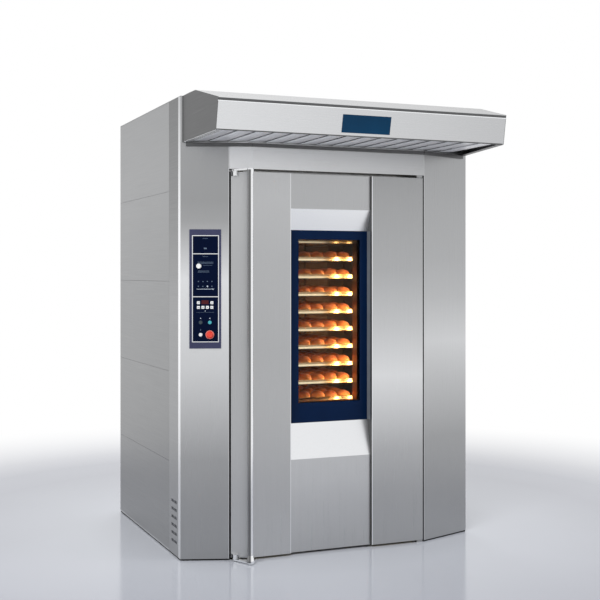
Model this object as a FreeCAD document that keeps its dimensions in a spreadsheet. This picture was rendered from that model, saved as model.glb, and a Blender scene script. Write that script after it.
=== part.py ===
"""Rotating rack oven: a faceted cabinet with a full-height swing handle, a tilted canopy over
the door, and a wheeled rack of trays that turns inside the baking chamber.

The origin is on the floor at the rack's rotation axis. +X is to the user's right, +Y runs from
the door to the back, and +Z is up. All lengths are in millimetres.
"""
import FreeCAD, Part
import os
import re
import Sketcher

doc = FreeCAD.newDocument("RackOven")
sheet = doc.addObject("Spreadsheet::Sheet", "Sizes")

# ---------------------------------------------------------------- driving dimensions
SIZES = {
    # cabinet, with one facet at each side of the door
    "left_space": 231,
    "right_space": 79,
    "rear_space": 118,
    "facet_width": 334,
    "facet_depth": 121,
    "axis_depth": 560,
    "skin": 2,
    "panel_lift": 8,
    "corner_band": 36,
    "vent_strip": 163,
    "vent_margin": 23,
    "vent_columns": 2,
    "vent_rows": 6,
    "vent_length": 44,
    "vent_height": 14,
    "vent_spacing": 50,
    "vent_pitch": 40,
    "vent_first": 68,
    "side_panel_count": 5,
    "side_panel_fold": 15,
    "seam": 1,
    # baking chamber and the plenum beside it
    "chamber_half": 533,
    "chamber_back": 560,
    "floor_height": 18,
    "ceiling_height": 1950,
    "plenum_width": 252,
    "insulation": 75,
    "roof_insulation": 78,
    "frame_depth": 15,
    "opening_half": 450,
    "opening_drop": 45,
    # door leaf
    "door_left_reach": 532,
    "door_right_reach": 530,
    "door_bottom": 12,
    "door_lap": 20,
    "door_depth": 95,
    "wing_gap": 8,
    "recess_left_reach": 224.5,
    "recess_right_reach": 230,
    "recess_depth": 16,
    "reveal_bottom": 480,
    "reveal_drop": 176,
    "border_bottom": 658,
    "reveal_slope": 106.5,
    "border_depth": 57,
    "border_thickness": 4,
    "pane_left_reach": 159,
    "pane_right_reach": 188,
    "pane_bottom": 759,
    "pane_drop": 46.5,
    "pane_lap": 20,
    "pane_thickness": 6,
    "lamp_box_depth": 56,
    "lamp_box_wall": 3,
    "lamp_stile": 152,
    "lamp_radius": 8,
    "lamp_inset": 38,
    "lamp_spacing": 80,
    "seal_width": 20,
    "seal_gap": 0.3,
    # door hinge, handle and latch
    "hinge_inset": 14,
    "hinge_pin_radius": 7,
    "hinge_pin_length": 38,
    "bush_wall": 3.5,
    "running_fit": 0.05,
    "pivot_x_reach": 515,
    "pivot_y_reach": 668,
    "pivot_pin_radius": 6,
    "pivot_block_height": 22,
    "bar_x_reach": 470,
    "bar_y_reach": 760,
    "bar_radius": 14,
    "foot_radius": 20,
    "arm_thickness": 7,
    "arm_width": 20,
    "hook_start": 38,
    "hook_neck": 14,
    "hook_end": 83,
    "hook_radius": 60,
    "hook_wall": 8,
    "keeper_radius": 5,
    "keeper_distance": 50,
    # header and canopy
    "header_gap": 15,
    "header_height": 360,
    "hood_height": 230,
    "hood_left_reach": 757,
    "hood_right_reach": 763,
    "hood_knee_reach": 779,
    "hood_front_reach": 1119,
    "hood_foot_reach": 1085,
    "hood_knee_drop": 4,
    "hood_front_drop": 85,
    "filter_lift": 30,
    "filter_thickness": 10,
    "baffle_count": 9,
    "baffle_width": 22,
    "baffle_depth": 5,
    # rack, trays and turntable
    "turntable_radius": 500,
    "turntable_thickness": 6,
    "turntable_gap": 4,
    "race_radius": 60,
    "spindle_radius": 15,
    "rack_tube": 20,
    "rack_bottom": 135,
    "rack_headroom": 70,
    "tray_half_width": 299,
    "tray_half_depth": 400,
    "tray_play": 4,
    "tray_overhang": 10,
    "tray_rim": 20,
    "tray_wall": 2,
    "tray_first": 174,
    "tray_pitch": 94,
    "runner_leg": 15,
    "runner_wall": 1.5,
    "caster_inset_x": 73,
    "caster_inset_y": 70,
    "caster_trail": 25,
    "wheel_radius": 45,
    "wheel_width": 24,
    "axle_radius": 4,
    "kingpin_radius": 6,
    "caster_plate_x": 40,
    "caster_plate_y": 34,
    "fork_wall": 3,
    # drive, air system and roof equipment
    "shaft_radius": 20,
    "fork_gap": 0.3,
    "fork_half_length": 70,
    "fork_half_width": 22,
    "gearbox_half": 90,
    "gearbox_height": 130,
    "motor_lift": 70,
    "motor_radius": 65,
    "motor_length": 210,
    "deck_drop": 250,
    "fan_radius": 115,
    "fan_eye_radius": 80,
    "fan_height": 90,
    "fan_shaft_radius": 12,
    "fan_motor_radius": 80,
    "blade_count": 8,
    "blade_root": 42,
    "blade_sweep": 25,
    "blade_bow": 32,
    "blade_thickness": 2.5,
    "blade_seat": 2,
    "slot_rows": 12,
    "slot_columns": 3,
    "slot_height": 90,
    "slot_width": 14,
    "slot_start": 330,
    "slot_spacing": 320,
    "heater_count": 4,
    "heater_radius": 6,
    "heater_bend": 30,
    "heater_height": 1200,
    "heater_reach": 400,
    "heater_margin": 55,
    "heater_spacing": 42,
    "trough_count": 4,
    "trough_pitch": 120,
    "trough_half": 300,
    "trough_first": 110,
    "trough_height": 60,
    "trough_wall": 3,
    "pipe_radius": 8,
    "water_bend": 30,
    "inlet_radius": 13.2,
    "inlet_length": 20,
    "spray_start": 200,
    "flue_x_reach": 300,
    "flue_y": 400,
    "flue_radius": 60,
    "flue_wall": 3,
    "flue_rise": 120,
    "damper_drop": 100,
    "hood_fan_x_reach": 320,
    "hood_fan_y_reach": 440,
    "hood_fan_radius": 70,
    "spigot_radius": 75,
    "hood_motor_radius": 40,
    "hood_motor_height": 40,
    "spigot_height": 40,
    "collar_height": 5,
    "electrics_width": 120,
    "electrics_front": 450,
    "electrics_rear": 150,
    "electrics_bottom": 900,
    "electrics_top": 1500,
    # control panel on the left facet: distances along the facet and heights
    "control_left": 45,
    "control_right": 201,
    "control_bottom": 1050,
    "control_top": 1639,
    "control_depth": 12,
    "knob_along": 91.5,
    "knob_height": 1457,
    "knob_radius": 13,
    "button_radius": 9,
    "button_depth": 8,
    "button_stand": 4,
    "left_button_along": 100.5,
    "right_button_along": 146,
    "upper_button_height": 1179,
    "lower_button_height": 1118.5,
    "stop_radius": 17,
}

# Places that follow from the driving dimensions, each written as a formula in their names.
PLACES = {
    "body_left": "(-chamber_half - skin - left_space)",
    "body_right": "plenum_right + right_space",
    "side_front": "-axis_depth",
    "front": "side_front - facet_depth",
    "rear": "back_wall + rear_space",
    "facet_left": "body_left + facet_width",
    "facet_right": "body_right - facet_width",
    "facet_slope": "facet_depth / facet_width",
    "facet_angle": "atan(facet_slope)",
    "facet_stretch": "sqrt(1 + facet_slope ^ 2)",
    "fold_shift": "skin * tan(facet_angle / 2)",
    "frame_front": "side_front - frame_depth",
    "plenum_left": "chamber_half + skin",
    "plenum_right": "plenum_left + plenum_width",
    "plenum_middle": "plenum_left + plenum_width / 2",
    "back_wall": "chamber_back + skin",
    "ceiling_top": "ceiling_height + skin",
    "roof_space": "ceiling_top + roof_insulation",
    "opening_top": "ceiling_height - opening_drop",
    "door_top": "opening_top + door_lap",
    "header_bottom": "door_top + header_gap",
    "body_height": "header_bottom + header_height",
    "panel_top": "body_height - skin",
    "door_left": "-door_left_reach",
    "door_right": "door_right_reach",
    "door_back": "front + door_depth",
    "left_wing_edge": "door_left - wing_gap",
    "right_wing_edge": "door_right + wing_gap",
    "recess_left": "-recess_left_reach",
    "recess_right": "recess_right_reach",
    "recess_face": "front + recess_depth",
    "reveal_top": "door_top - reveal_drop",
    "border_top": "reveal_top - reveal_slope",
    "border_face": "front + border_depth",
    "border_back": "border_face + border_thickness",
    "pane_left": "-pane_left_reach",
    "pane_right": "pane_right_reach",
    "pane_top": "border_top - pane_drop",
    "hinge_x": "door_right - hinge_inset",
    "hinge_y": "front + hinge_inset",
    "bush_radius": "hinge_pin_radius + bush_wall",
    "pivot_x": "-pivot_x_reach",
    "pivot_y": "-pivot_y_reach",
    "bar_x": "-bar_x_reach",
    "bar_y": "-bar_y_reach",
    "upper_arm": "door_top + 3",
    "lower_arm": "door_bottom - 1 - arm_thickness",
    "keeper_y": "pivot_y + keeper_distance",
    "table_bottom": "floor_height + turntable_gap",
    "table_top": "table_bottom + turntable_thickness",
    "wheel_centre": "table_top + wheel_radius + 0.3",
    "rack_half_width": "tray_half_width + tray_play + rack_tube",
    "rack_half_depth": "tray_half_depth - tray_overhang",
    "caster_x": "rack_half_width - caster_inset_x",
    "caster_y": "rack_half_depth - caster_inset_y",
    "fork_top": "rack_bottom - 4",
    "rack_top": "ceiling_height - rack_headroom",
    "crossbar_top": "rack_top + rack_tube",
    "tray_room": "rack_top - rack_tube - tray_rim - tray_first",
    "tray_count": "floor(tray_room / tray_pitch) + 1",
    "deck_height": "ceiling_height - deck_drop",
    "fan_bottom": "deck_height - 10 - fan_height",
    "fan_top": "deck_height - 10",
    "blade_tip": "fan_radius - 2",
    "blade_end_x": "blade_tip * cos(blade_sweep)",
    "blade_end_y": "-(blade_tip * sin(blade_sweep))",
    "blade_chord": "sqrt((blade_end_x - blade_root) ^ 2 + blade_end_y ^ 2)",
    "blade_middle_x": "(blade_root + blade_end_x) / 2 + blade_bow * blade_end_y / blade_chord",
    "blade_middle_y": "blade_end_y / 2 - blade_bow * (blade_end_x - blade_root) / blade_chord",
    "blade_arc": "sqrt(blade_chord ^ 2 / 4 + blade_bow ^ 2)",
    "blade_share": "blade_thickness / blade_arc",
    "water_x": "plenum_right - 20",
    "water_drop_y": "chamber_back - 60",
    "water_height": "roof_space + 120",
    "gland_x": "body_left + 76",
    "bush_length": "hinge_pin_length + 2",
    "hood_bottom": "body_height - hood_height",
    "hood_knee_height": "body_height - hood_knee_drop",
    "hood_front_height": "body_height - hood_front_drop",
    "hood_fan_floor": "hood_bottom + 25",
    "hood_motor_top": "hood_fan_floor + hood_motor_height",
    "flue_x": "-flue_x_reach",
    "flue_top": "body_height + flue_rise",
    "damper_height": "body_height - damper_drop",
    "hood_fan_x": "-hood_fan_x_reach",
    "hood_fan_y": "-hood_fan_y_reach",
}


def expand(text):
    """Turn the names in a formula into references to the sheet's cells."""
    def replace(match):
        name = match.group(0)
        if name in PLACES:
            return "(" + expand(PLACES[name]) + ")"
        if name in SIZES:
            return "Sizes." + name
        return name
    return re.sub(r"[a-z_][a-z_0-9]*", replace, str(text))


def value(text):
    """The number that a formula gives with the sheet's present sizes."""
    result = sheet.evalExpression(expand(text))
    return float(getattr(result, "Value", result))


def bind(item, prop, text):
    item.setExpression(prop, expand(text))


for row, (alias, size) in enumerate(SIZES.items(), start=1):
    sheet.set(f"A{row}", alias.replace("_", " "))
    sheet.set(f"B{row}", str(size))
    sheet.setAlias(f"B{row}", alias)
doc.recompute()

nodes = []


def node(item, label):
    """Name a finished piece and put it on the list of pieces to write."""
    item.Label = label
    nodes.append(item)
    return item


# ---------------------------------------------------------------- building blocks
def box(label, x, y, z):
    """A rectangular block between a low and a high formula along each axis."""
    solid = doc.addObject("Part::Box", label)
    for size, place, (low, high) in zip(("Length", "Width", "Height"), "xyz", (x, y, z)):
        bind(solid, size, f"({high}) - ({low})")
        bind(solid, "Placement.Base." + place, low)
    return solid


def cylinder(label, centre, radius, low, high, axis="z"):
    """A round bar along one axis; centre gives its place on the two other axes, in order."""
    turns = {
        "x": FreeCAD.Rotation(FreeCAD.Vector(0, 1, 0), 90),
        "y": FreeCAD.Rotation(FreeCAD.Vector(1, 0, 0), -90),
        "z": FreeCAD.Rotation(),
    }
    solid = doc.addObject("Part::Cylinder", label)
    solid.Placement = FreeCAD.Placement(FreeCAD.Vector(), turns[axis])
    bind(solid, "Radius", radius)
    bind(solid, "Height", f"({high}) - ({low})")
    others = [name for name in "xyz" if name != axis]
    bind(solid, "Placement.Base." + axis, low)
    for name, place in zip(others, centre):
        bind(solid, "Placement.Base." + name, place)
    return solid


def sector(label, centre, radius, low, high, start, sweep):
    """A pie slice about a vertical axis, from one angle over a sweep."""
    solid = cylinder(label, centre, radius, low, high)
    solid.Placement.Rotation = FreeCAD.Rotation(FreeCAD.Vector(0, 0, 1), 10)
    bind(solid, "Placement.Rotation.Angle", start)
    bind(solid, "Angle", sweep)
    return solid


def outline(body, plane, points):
    """A closed polygon in one of the body's own planes, every corner held by two formulas."""
    planes = {feature.Role: feature for feature in body.Origin.OriginFeatures}
    sketch = body.newObject("Sketcher::SketchObject", body.Name + "_outline")
    sketch.AttachmentSupport = (planes[plane + "_Plane"], [""])
    sketch.MapMode = "FlatFace"
    corners = [FreeCAD.Vector(value(across), value(up), 0) for across, up in points]
    count = len(corners)
    sketch.addGeometry(
        [Part.LineSegment(corners[i], corners[(i + 1) % count]) for i in range(count)], False
    )
    sketch.addConstraint(
        [Sketcher.Constraint("Coincident", i, 2, (i + 1) % count, 1) for i in range(count)]
    )
    for i, (across, up) in enumerate(points):
        for kind, text, present in (
            ("DistanceX", across, corners[i].x),
            ("DistanceY", up, corners[i].y),
        ):
            held = sketch.addConstraint(Sketcher.Constraint(kind, i, 1, present))
            sketch.setExpression(f"Constraints[{held}]", expand(text))
    return sketch


def prism(label, points, low, high, plane="XY"):
    """A profile drawn in a plane and padded along the axis square to it."""
    body = doc.addObject("PartDesign::Body", label)
    sketch = outline(body, plane, points)
    pad = body.newObject("PartDesign::Pad", label + "_pad")
    pad.Profile = sketch
    pad.Reversed = plane == "XZ"
    bind(pad, "Length", f"({high}) - ({low})")
    body.Tip = pad
    along = {"XY": "z", "YZ": "x", "XZ": "y"}[plane]
    bind(body, "Placement.Base." + along, low)
    return body


def revolve(label, points, centre, turn=None):
    """A round piece: a half profile of (radius, height) points spun about its own axis."""
    body = doc.addObject("PartDesign::Body", label)
    sketch = outline(body, "XZ", points)
    spin = body.newObject("PartDesign::Revolution", label + "_spin")
    spin.Profile = sketch
    spin.ReferenceAxis = (sketch, ["V_Axis"])
    spin.Angle = 360
    body.Tip = spin
    if turn is not None:
        body.Placement = FreeCAD.Placement(FreeCAD.Vector(), turn)
    for name, place in zip("xyz", centre):
        bind(body, "Placement.Base." + name, place)
    return body


def fuse(label, pieces):
    whole = doc.addObject("Part::MultiFuse", label)
    whole.Shapes = pieces
    return whole


def cut(label, base, tools):
    result = doc.addObject("Part::Cut", label)
    result.Base = base
    result.Tool = tools[0] if len(tools) == 1 else fuse(label + "_cuts", tools)
    return result


def common(label, base, tool):
    result = doc.addObject("Part::Common", label)
    result.Base = base
    result.Tool = tool
    return result


def group(label, pieces):
    """Separate solids of one kind that share a node."""
    together = doc.addObject("Part::Compound", label)
    together.Links = pieces
    return together


def left_facet(x, inset="0"):
    """Y of the left facet's plane at x, moved inwards by inset."""
    return f"(side_front - facet_slope * (({x}) - body_left) + ({inset}) * facet_stretch)"


def right_facet(x, inset="0"):
    return f"(side_front - facet_slope * (body_right - ({x})) + ({inset}) * facet_stretch)"


def body_outline(inset):
    """The cabinet's plan, moved inwards, as a list of corners."""
    left, right = f"body_left + {inset}", f"body_right - {inset}"
    return [
        (left, f"rear - {inset}"),
        (left, left_facet(left, inset)),
        ("facet_left", f"front + {inset}"),
        ("facet_right", f"front + {inset}"),
        (right, right_facet(right, inset)),
        (right, f"rear - {inset}"),
    ]


# ---------------------------------------------------------------- base and floor
def make_base():
    plan = prism("base_plan", body_outline("skin"), "0", "panel_lift")
    well = box(
        "base_well", ("-plenum_left - 0.3", "plenum_left + 0.3"),
        ("front - 50", "back_wall + 0.3"), ("-1", "panel_lift + 1"),
    )
    door_way = box(
        "base_door_way", ("left_wing_edge", "right_wing_edge"),
        ("front - 50", "frame_front"), ("-1", "panel_lift + 1"),
    )
    node(cut("base", plan, [well, door_way]), "base_frame")

    ramp = [
        ("frame_front", "0"), ("back_wall", "0"), ("back_wall", "floor_height"),
        ("side_front + 60", "floor_height"), ("frame_front", "4"),
    ]
    slab = prism("floor_slab", ramp, "-plenum_left", "plenum_left", "YZ")
    race = cylinder("floor_race", ("0", "0"), "race_radius",
                    "floor_height - 1", "table_bottom - 0.3")
    spindle = cylinder("floor_spindle", ("0", "0"), "spindle_radius",
                       "floor_height - 1", "table_top - 1")
    node(fuse("floor", [slab, race, spindle]), "floor_pan")


# ---------------------------------------------------------------- chamber and insulation
def roof_holes(label, low, high, flue, shaft):
    """The holes that the rack shaft, fan shaft, flue and water pipe need in a flat layer."""
    return [
        cylinder(label + "_rack_hole", ("0", "0"), shaft, low, high),
        cylinder(label + "_fan_hole", ("plenum_middle", "0"), "fan_shaft_radius + 2", low, high),
        cylinder(label + "_flue_hole", ("flue_x", "flue_y"), flue, low, high),
        cylinder(label + "_pipe_hole", ("water_x", "water_drop_y"), "pipe_radius + 1", low, high),
    ]


def make_chamber():
    wall = [
        ("-plenum_left", "side_front"), ("-chamber_half", "side_front"),
        ("-chamber_half", "chamber_back"), ("plenum_right", "chamber_back"),
        ("plenum_right", "side_front"), ("plenum_right + skin", "side_front"),
        ("plenum_right + skin", "back_wall"), ("-plenum_left", "back_wall"),
    ]
    node(prism("wall", wall, "floor_height", "ceiling_height"), "chamber_liner")
    sheet_blank = box("ceiling_blank", ("-plenum_left", "plenum_right + skin"),
                      ("side_front", "back_wall"), ("ceiling_height", "ceiling_top"))
    holes = roof_holes("ceiling", "ceiling_height - 1", "ceiling_top + 1",
                       "flue_radius - flue_wall", "shaft_radius + 5")
    node(cut("ceiling", sheet_blank, holes), "ceiling_liner")

    left = ("-plenum_left - insulation", "-plenum_left")
    right = ("plenum_right + skin", "body_right - side_panel_fold")
    across = (left[0], right[1])
    height = ("panel_lift", "ceiling_top")
    chamber_side = ("side_front", "back_wall")
    top_blank = box("top_batt_blank", across, ("side_front", "rear - skin"),
                    ("ceiling_top", "roof_space"))
    top_holes = roof_holes("top_batt", "ceiling_top - 1", "roof_space + 1",
                           "flue_radius + 0.3", "shaft_radius + 5")
    batts = [
        box("left_batt", left, chamber_side, height),
        box("right_batt", right, chamber_side, height),
        box("back_batt", across, ("back_wall", "rear - skin"), height),
        cut("top_batt", top_blank, top_holes),
    ]
    node(group("batts", batts), "insulation")


def make_front_frame():
    plate = box("front_frame_plate", ("-plenum_left", "plenum_right + skin"),
                ("frame_front", "side_front"), ("floor_height", "roof_space"))
    doorway = box("front_frame_doorway", ("-opening_half", "opening_half"),
                  ("frame_front - 1", "side_front + 1"), ("floor_height - 1", "opening_top"))
    node(cut("frame_plate", plate, [doorway]), "front_frame")

    outer = box("seal_outer", ("-opening_half - seal_width", "opening_half + seal_width"),
                ("door_back + seal_gap", "frame_front"),
                ("floor_height", "opening_top + seal_width - 4"))
    inner = box("seal_inner", ("-opening_half - 2", "opening_half + 2"),
                ("door_back - 1", "frame_front + 1"), ("floor_height - 1", "opening_top + 1"))
    node(cut("seal", outer, [inner]), "door_seal")


# ---------------------------------------------------------------- outer skin
def wing(label, edge, side, sign, facet):
    """A folded front panel: a band round the corner, the facet, and a return at the door."""
    inner_side = f"{side} + {sign} * skin"
    inner_edge = f"{edge} - {sign} * skin"
    points = [
        (side, "side_front + corner_band"), (side, "side_front"), (edge, facet(edge)),
        (edge, "frame_front"), (inner_edge, "frame_front"), (inner_edge, facet(inner_edge, "skin")),
        (inner_side, facet(inner_side, "skin")), (inner_side, "side_front + corner_band"),
    ]
    return prism(label, points, "panel_lift", "panel_top")


def make_front_panels():
    left = wing("left_wing", "left_wing_edge", "body_left", "1", left_facet)
    right = wing("right_wing", "right_wing_edge", "body_right", "-1", right_facet)
    node(group("wings", [left, right]), "wing_panels")

    def shell(low_x, high_x, back, inset, shift):
        return [
            (low_x, back), (low_x, left_facet(low_x, inset)),
            (f"facet_left + {shift}", f"front + {inset}"),
            (f"facet_right - {shift}", f"front + {inset}"),
            (high_x, right_facet(high_x, inset)), (high_x, back),
        ]

    outer = prism("header_outer",
                  shell("left_wing_edge + 1", "right_wing_edge - 1", "frame_front", "0", "0"),
                  "header_bottom", "panel_top")
    inner = prism("header_inner",
                  shell("left_wing_edge + 1 + skin", "right_wing_edge - 1 - skin",
                        "frame_front + 5", "skin", "fold_shift"),
                  "header_bottom + skin", "panel_top + 1")
    duct_hole = box("header_duct_hole", ("hood_fan_x - 98", "hood_fan_x + 98"),
                    ("front - 5", "front + skin + 5"), ("hood_fan_floor + skin", "panel_top - 10"))
    node(cut("header", outer, [inner, duct_hole]), "header_panel")


def side_panels(label, side, sign, vented):
    """A vented corner strip and a stack of folded panels on one side of the cabinet."""
    def across(depth):
        near, far = (side, f"{side} + {sign} * ({depth})")
        return (near, far) if sign == "1" else (far, near)

    strip_start = "side_front + corner_band"
    strip = box(label + "_strip", across("skin"), (strip_start, f"{strip_start} + vent_strip"),
                ("panel_lift", "panel_top"))
    slots = []
    for column in range(int(value("vent_columns"))):
        for line in range(int(value("vent_rows"))):
            start = f"{strip_start} + vent_margin + {column} * vent_spacing"
            height = f"vent_first + {line} * vent_pitch"
            slots.append(
                box(f"{label}_slot_{column}_{line}", (f"{side} - 5", f"{side} + 5"),
                    (start, f"{start} + vent_length"), (height, f"{height} + vent_height"))
            )
    pieces = [cut(label + "_vented", strip, slots) if vented else strip]
    start = f"{strip_start} + vent_strip"
    rise = "(panel_top - panel_lift) / side_panel_count"
    for level in range(int(value("side_panel_count"))):
        low = f"panel_lift + {level} * {rise}"
        high = f"panel_lift + {level + 1} * {rise} - seam"
        blank = box(f"{label}_blank_{level}", across("side_panel_fold"),
                    (f"{start} + seam", "rear - skin"), (low, high))
        inside = (f"{side} + {sign} * skin", f"{side} + {sign} * (side_panel_fold + 5)")
        hollow = box(f"{label}_hollow_{level}", inside if sign == "1" else inside[::-1],
                     (f"{start} + seam + skin", "rear - 2 * skin"),
                     (f"{low} + skin", f"{high} - skin"))
        pieces.append(cut(f"{label}_panel_{level}", blank, [hollow]))
    return pieces


def make_cabinet():
    panels = side_panels("left_side", "body_left", "1", True)
    panels += side_panels("right_side", "body_right", "-1", False)
    node(group("side_panel_set", panels), "side_panels")

    blank = box("rear_blank", ("body_left", "body_right"), ("rear - skin", "rear"),
                ("panel_lift", "panel_top"))
    gland = cylinder("rear_gland", ("gland_x", "water_height"), "16", "rear - 1", "rear + 20", "y")
    gland_bore = cylinder("rear_gland_bore", ("gland_x", "water_height"), "10",
                          "rear - 5", "rear + 25", "y")
    pipe_hole = cylinder("rear_pipe_hole", ("water_x", "water_height"), "pipe_radius + 1",
                         "rear - 5", "rear + 5", "y")
    node(cut("back", fuse("rear_with_gland", [blank, gland]), [gland_bore, pipe_hole]),
         "rear_panel")

    top = prism("roof_blank", body_outline("0"), "panel_top", "body_height")
    flue_hole = cylinder("roof_flue_hole", ("flue_x", "flue_y"), "flue_radius + 0.3",
                         "panel_top - 5", "body_height + 5")
    spigot_hole = cylinder("roof_spigot_hole", ("hood_fan_x", "hood_fan_y"), "spigot_radius + 0.3",
                           "panel_top - 5", "body_height + 5")
    node(cut("roof", top, [flue_hole, spigot_hole]), "roof_panel")


# ---------------------------------------------------------------- hinge and latch fittings
def make_brackets():
    across = ("hinge_x - 20", "hinge_x + 14")
    deep = ("hinge_y - 10", "frame_front")
    centre = ("hinge_x", "hinge_y")
    upper_plate = box("upper_hinge_plate", across, deep, ("door_top + 3", "header_bottom"))
    upper_pin = cylinder("upper_hinge_pin", centre, "hinge_pin_radius",
                         "door_top + 3 - hinge_pin_length", "header_bottom")
    lower_plate = box("lower_hinge_plate", across, deep, ("0", "door_bottom - 3"))
    lower_pin = cylinder("lower_hinge_pin", centre, "hinge_pin_radius",
                         "1", "door_bottom - 3 + hinge_pin_length")
    node(
        group("hinges", [fuse("upper_hinge", [upper_plate, upper_pin]),
                         fuse("lower_hinge", [lower_plate, lower_pin])]),
        "hinge_brackets",
    )

    keeper = ("pivot_x", "keeper_y")
    upper_keeper = cylinder("upper_keeper", keeper, "keeper_radius",
                            "door_top + 2", "header_bottom")
    foot_plate = box("lower_keeper_plate", ("pivot_x - 10", "pivot_x + 10"),
                     ("keeper_y - 10", "frame_front"), ("0", "2.5"))
    foot_pin = cylinder("lower_keeper_pin", keeper, "keeper_radius", "1", "door_bottom - 2")
    node(group("keepers", [upper_keeper, fuse("lower_keeper", [foot_plate, foot_pin])]),
         "latch_keepers")


# ---------------------------------------------------------------- door
def make_door_panels():
    low, high = "door_bottom", "door_top"
    back = "door_back - skin - 2"
    inner_left = "door_left + skin"
    left = [
        ("door_left", back), ("door_left", left_facet("door_left")), ("facet_left", "front"),
        ("recess_left", "front"), ("recess_left", "border_back"),
        ("recess_left - skin", "border_back"), ("recess_left - skin", "front + skin"),
        ("facet_left + fold_shift", "front + skin"), (inner_left, left_facet(inner_left, "skin")),
        (inner_left, back),
    ]
    node(prism("left_leaf", left, low, high), "door_panel_left")
    right = [
        ("door_right", back), ("door_right", "front"), ("recess_right", "front"),
        ("recess_right", "border_back"), ("recess_right + skin", "border_back"),
        ("recess_right + skin", "front + skin"), ("door_right - skin", "front + skin"),
        ("door_right - skin", back),
    ]
    node(prism("right_leaf", right, low, high), "door_panel_right")

    across = ("recess_left", "recess_right")
    upper = [
        ("recess_face", high), ("recess_face", "reveal_top"), ("border_face", "border_top"),
        ("border_face", "border_top + skin + 1"), ("recess_face + skin", "reveal_top + 1"),
        ("recess_face + skin", high),
    ]
    lower = [
        ("recess_face", low), ("recess_face", "reveal_bottom"), ("border_face", "border_bottom"),
        ("border_face", "border_bottom - skin - 1"), ("recess_face + skin", "reveal_bottom - 1"),
        ("recess_face + skin", low),
    ]
    node(
        group("centre_sheets", [prism("upper_sheet", upper, *across, "YZ"),
                                prism("lower_sheet", lower, *across, "YZ")]),
        "door_centre_panels",
    )


def window_box(label, grow, deep):
    """A block over the pane, grown sideways and up and down by the same amount."""
    return box(label, (f"pane_left - ({grow})", f"pane_right + ({grow})"), deep,
               (f"pane_bottom - ({grow})", f"pane_top + ({grow})"))


def make_window():
    plate = box("border_plate", ("recess_left", "recess_right"), ("border_face", "border_back"),
                ("border_bottom", "border_top"))
    hole = window_box("border_hole", "0", ("border_face - 1", "border_back + 1"))
    node(cut("border", plate, [hole]), "window_frame")
    outer = window_box("outer_pane", "pane_lap", ("border_back", "border_back + pane_thickness"))
    inner = window_box("inner_pane", "pane_lap",
                       ("door_back - skin - pane_thickness", "door_back - skin"))
    node(group("panes", [outer, inner]), "window_glasses")


def bush_holes(label, radius, low, high):
    """Round holes for the two hinge bushes, at the leaf's foot and head."""
    centre = ("hinge_x", "hinge_y")
    return [
        cylinder(label + "_low", centre, radius, low, f"{low} + bush_length + 2"),
        cylinder(label + "_high", centre, radius, f"{high} - bush_length - 2", high),
    ]


def make_door_core():
    inner_left = "door_left + skin"
    plan = [
        (inner_left, "door_back - skin"), (inner_left, left_facet(inner_left, "skin")),
        ("facet_left + fold_shift", "front + skin"), ("recess_left - skin", "front + skin"),
        ("recess_left - skin", "border_back"), ("recess_right + skin", "border_back"),
        ("recess_right + skin", "front + skin"), ("door_right - skin", "front + skin"),
        ("door_right - skin", "door_back - skin"),
    ]
    blank = prism("core_blank", plan, "door_bottom + skin", "door_top - skin")
    hole = window_box("core_hole", "pane_lap + 0.3", ("front", "door_back + 5"))
    bores = bush_holes("core_bore", "bush_radius + 0.1", "door_bottom + skin", "door_top - skin")
    node(cut("core", blank, [hole] + bores), "door_core")

    liner = box("liner_blank", ("door_left + skin", "door_right - skin"),
                ("door_back - skin", "door_back"), ("door_bottom + skin", "door_top - skin"))
    liner_hole = window_box("liner_hole", "0", ("door_back - 5", "door_back + 5"))
    node(cut("liner", liner, [liner_hole]), "door_liner")

    centre = ("hinge_x", "hinge_y")
    bushes = []
    for label, low, high in (
        ("lower_bush", "door_bottom", "door_bottom + bush_length"),
        ("upper_bush", "door_top - bush_length", "door_top"),
    ):
        solid = cylinder(label + "_blank", centre, "bush_radius", low, high)
        bore = cylinder(label + "_bore", centre, "hinge_pin_radius + running_fit",
                        f"{low} - 1", f"{high} + 1")
        bushes.append(cut(label, solid, [bore]))
    left, right = "pivot_x - 15", "pivot_x + 15"
    plan = [
        (left, left_facet(left)), (left, "pivot_y - 9"), ("pivot_x - 9", "pivot_y - 15"),
        ("pivot_x + 9", "pivot_y - 15"), (right, "pivot_y - 9"), (right, left_facet(right)),
    ]
    blocks = []
    for label, low, high in (
        ("lower_pivot", "door_bottom", "door_bottom + pivot_block_height"),
        ("upper_pivot", "door_top - pivot_block_height", "door_top"),
    ):
        solid = prism(label + "_blank", plan, low, high)
        bore = cylinder(label + "_bore", ("pivot_x", "pivot_y"), "pivot_pin_radius + running_fit",
                        f"{low} - 1", f"{high} + 1")
        blocks.append(cut(label, solid, [bore]))
    node(group("fittings", bushes + blocks), "door_fittings")


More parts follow.
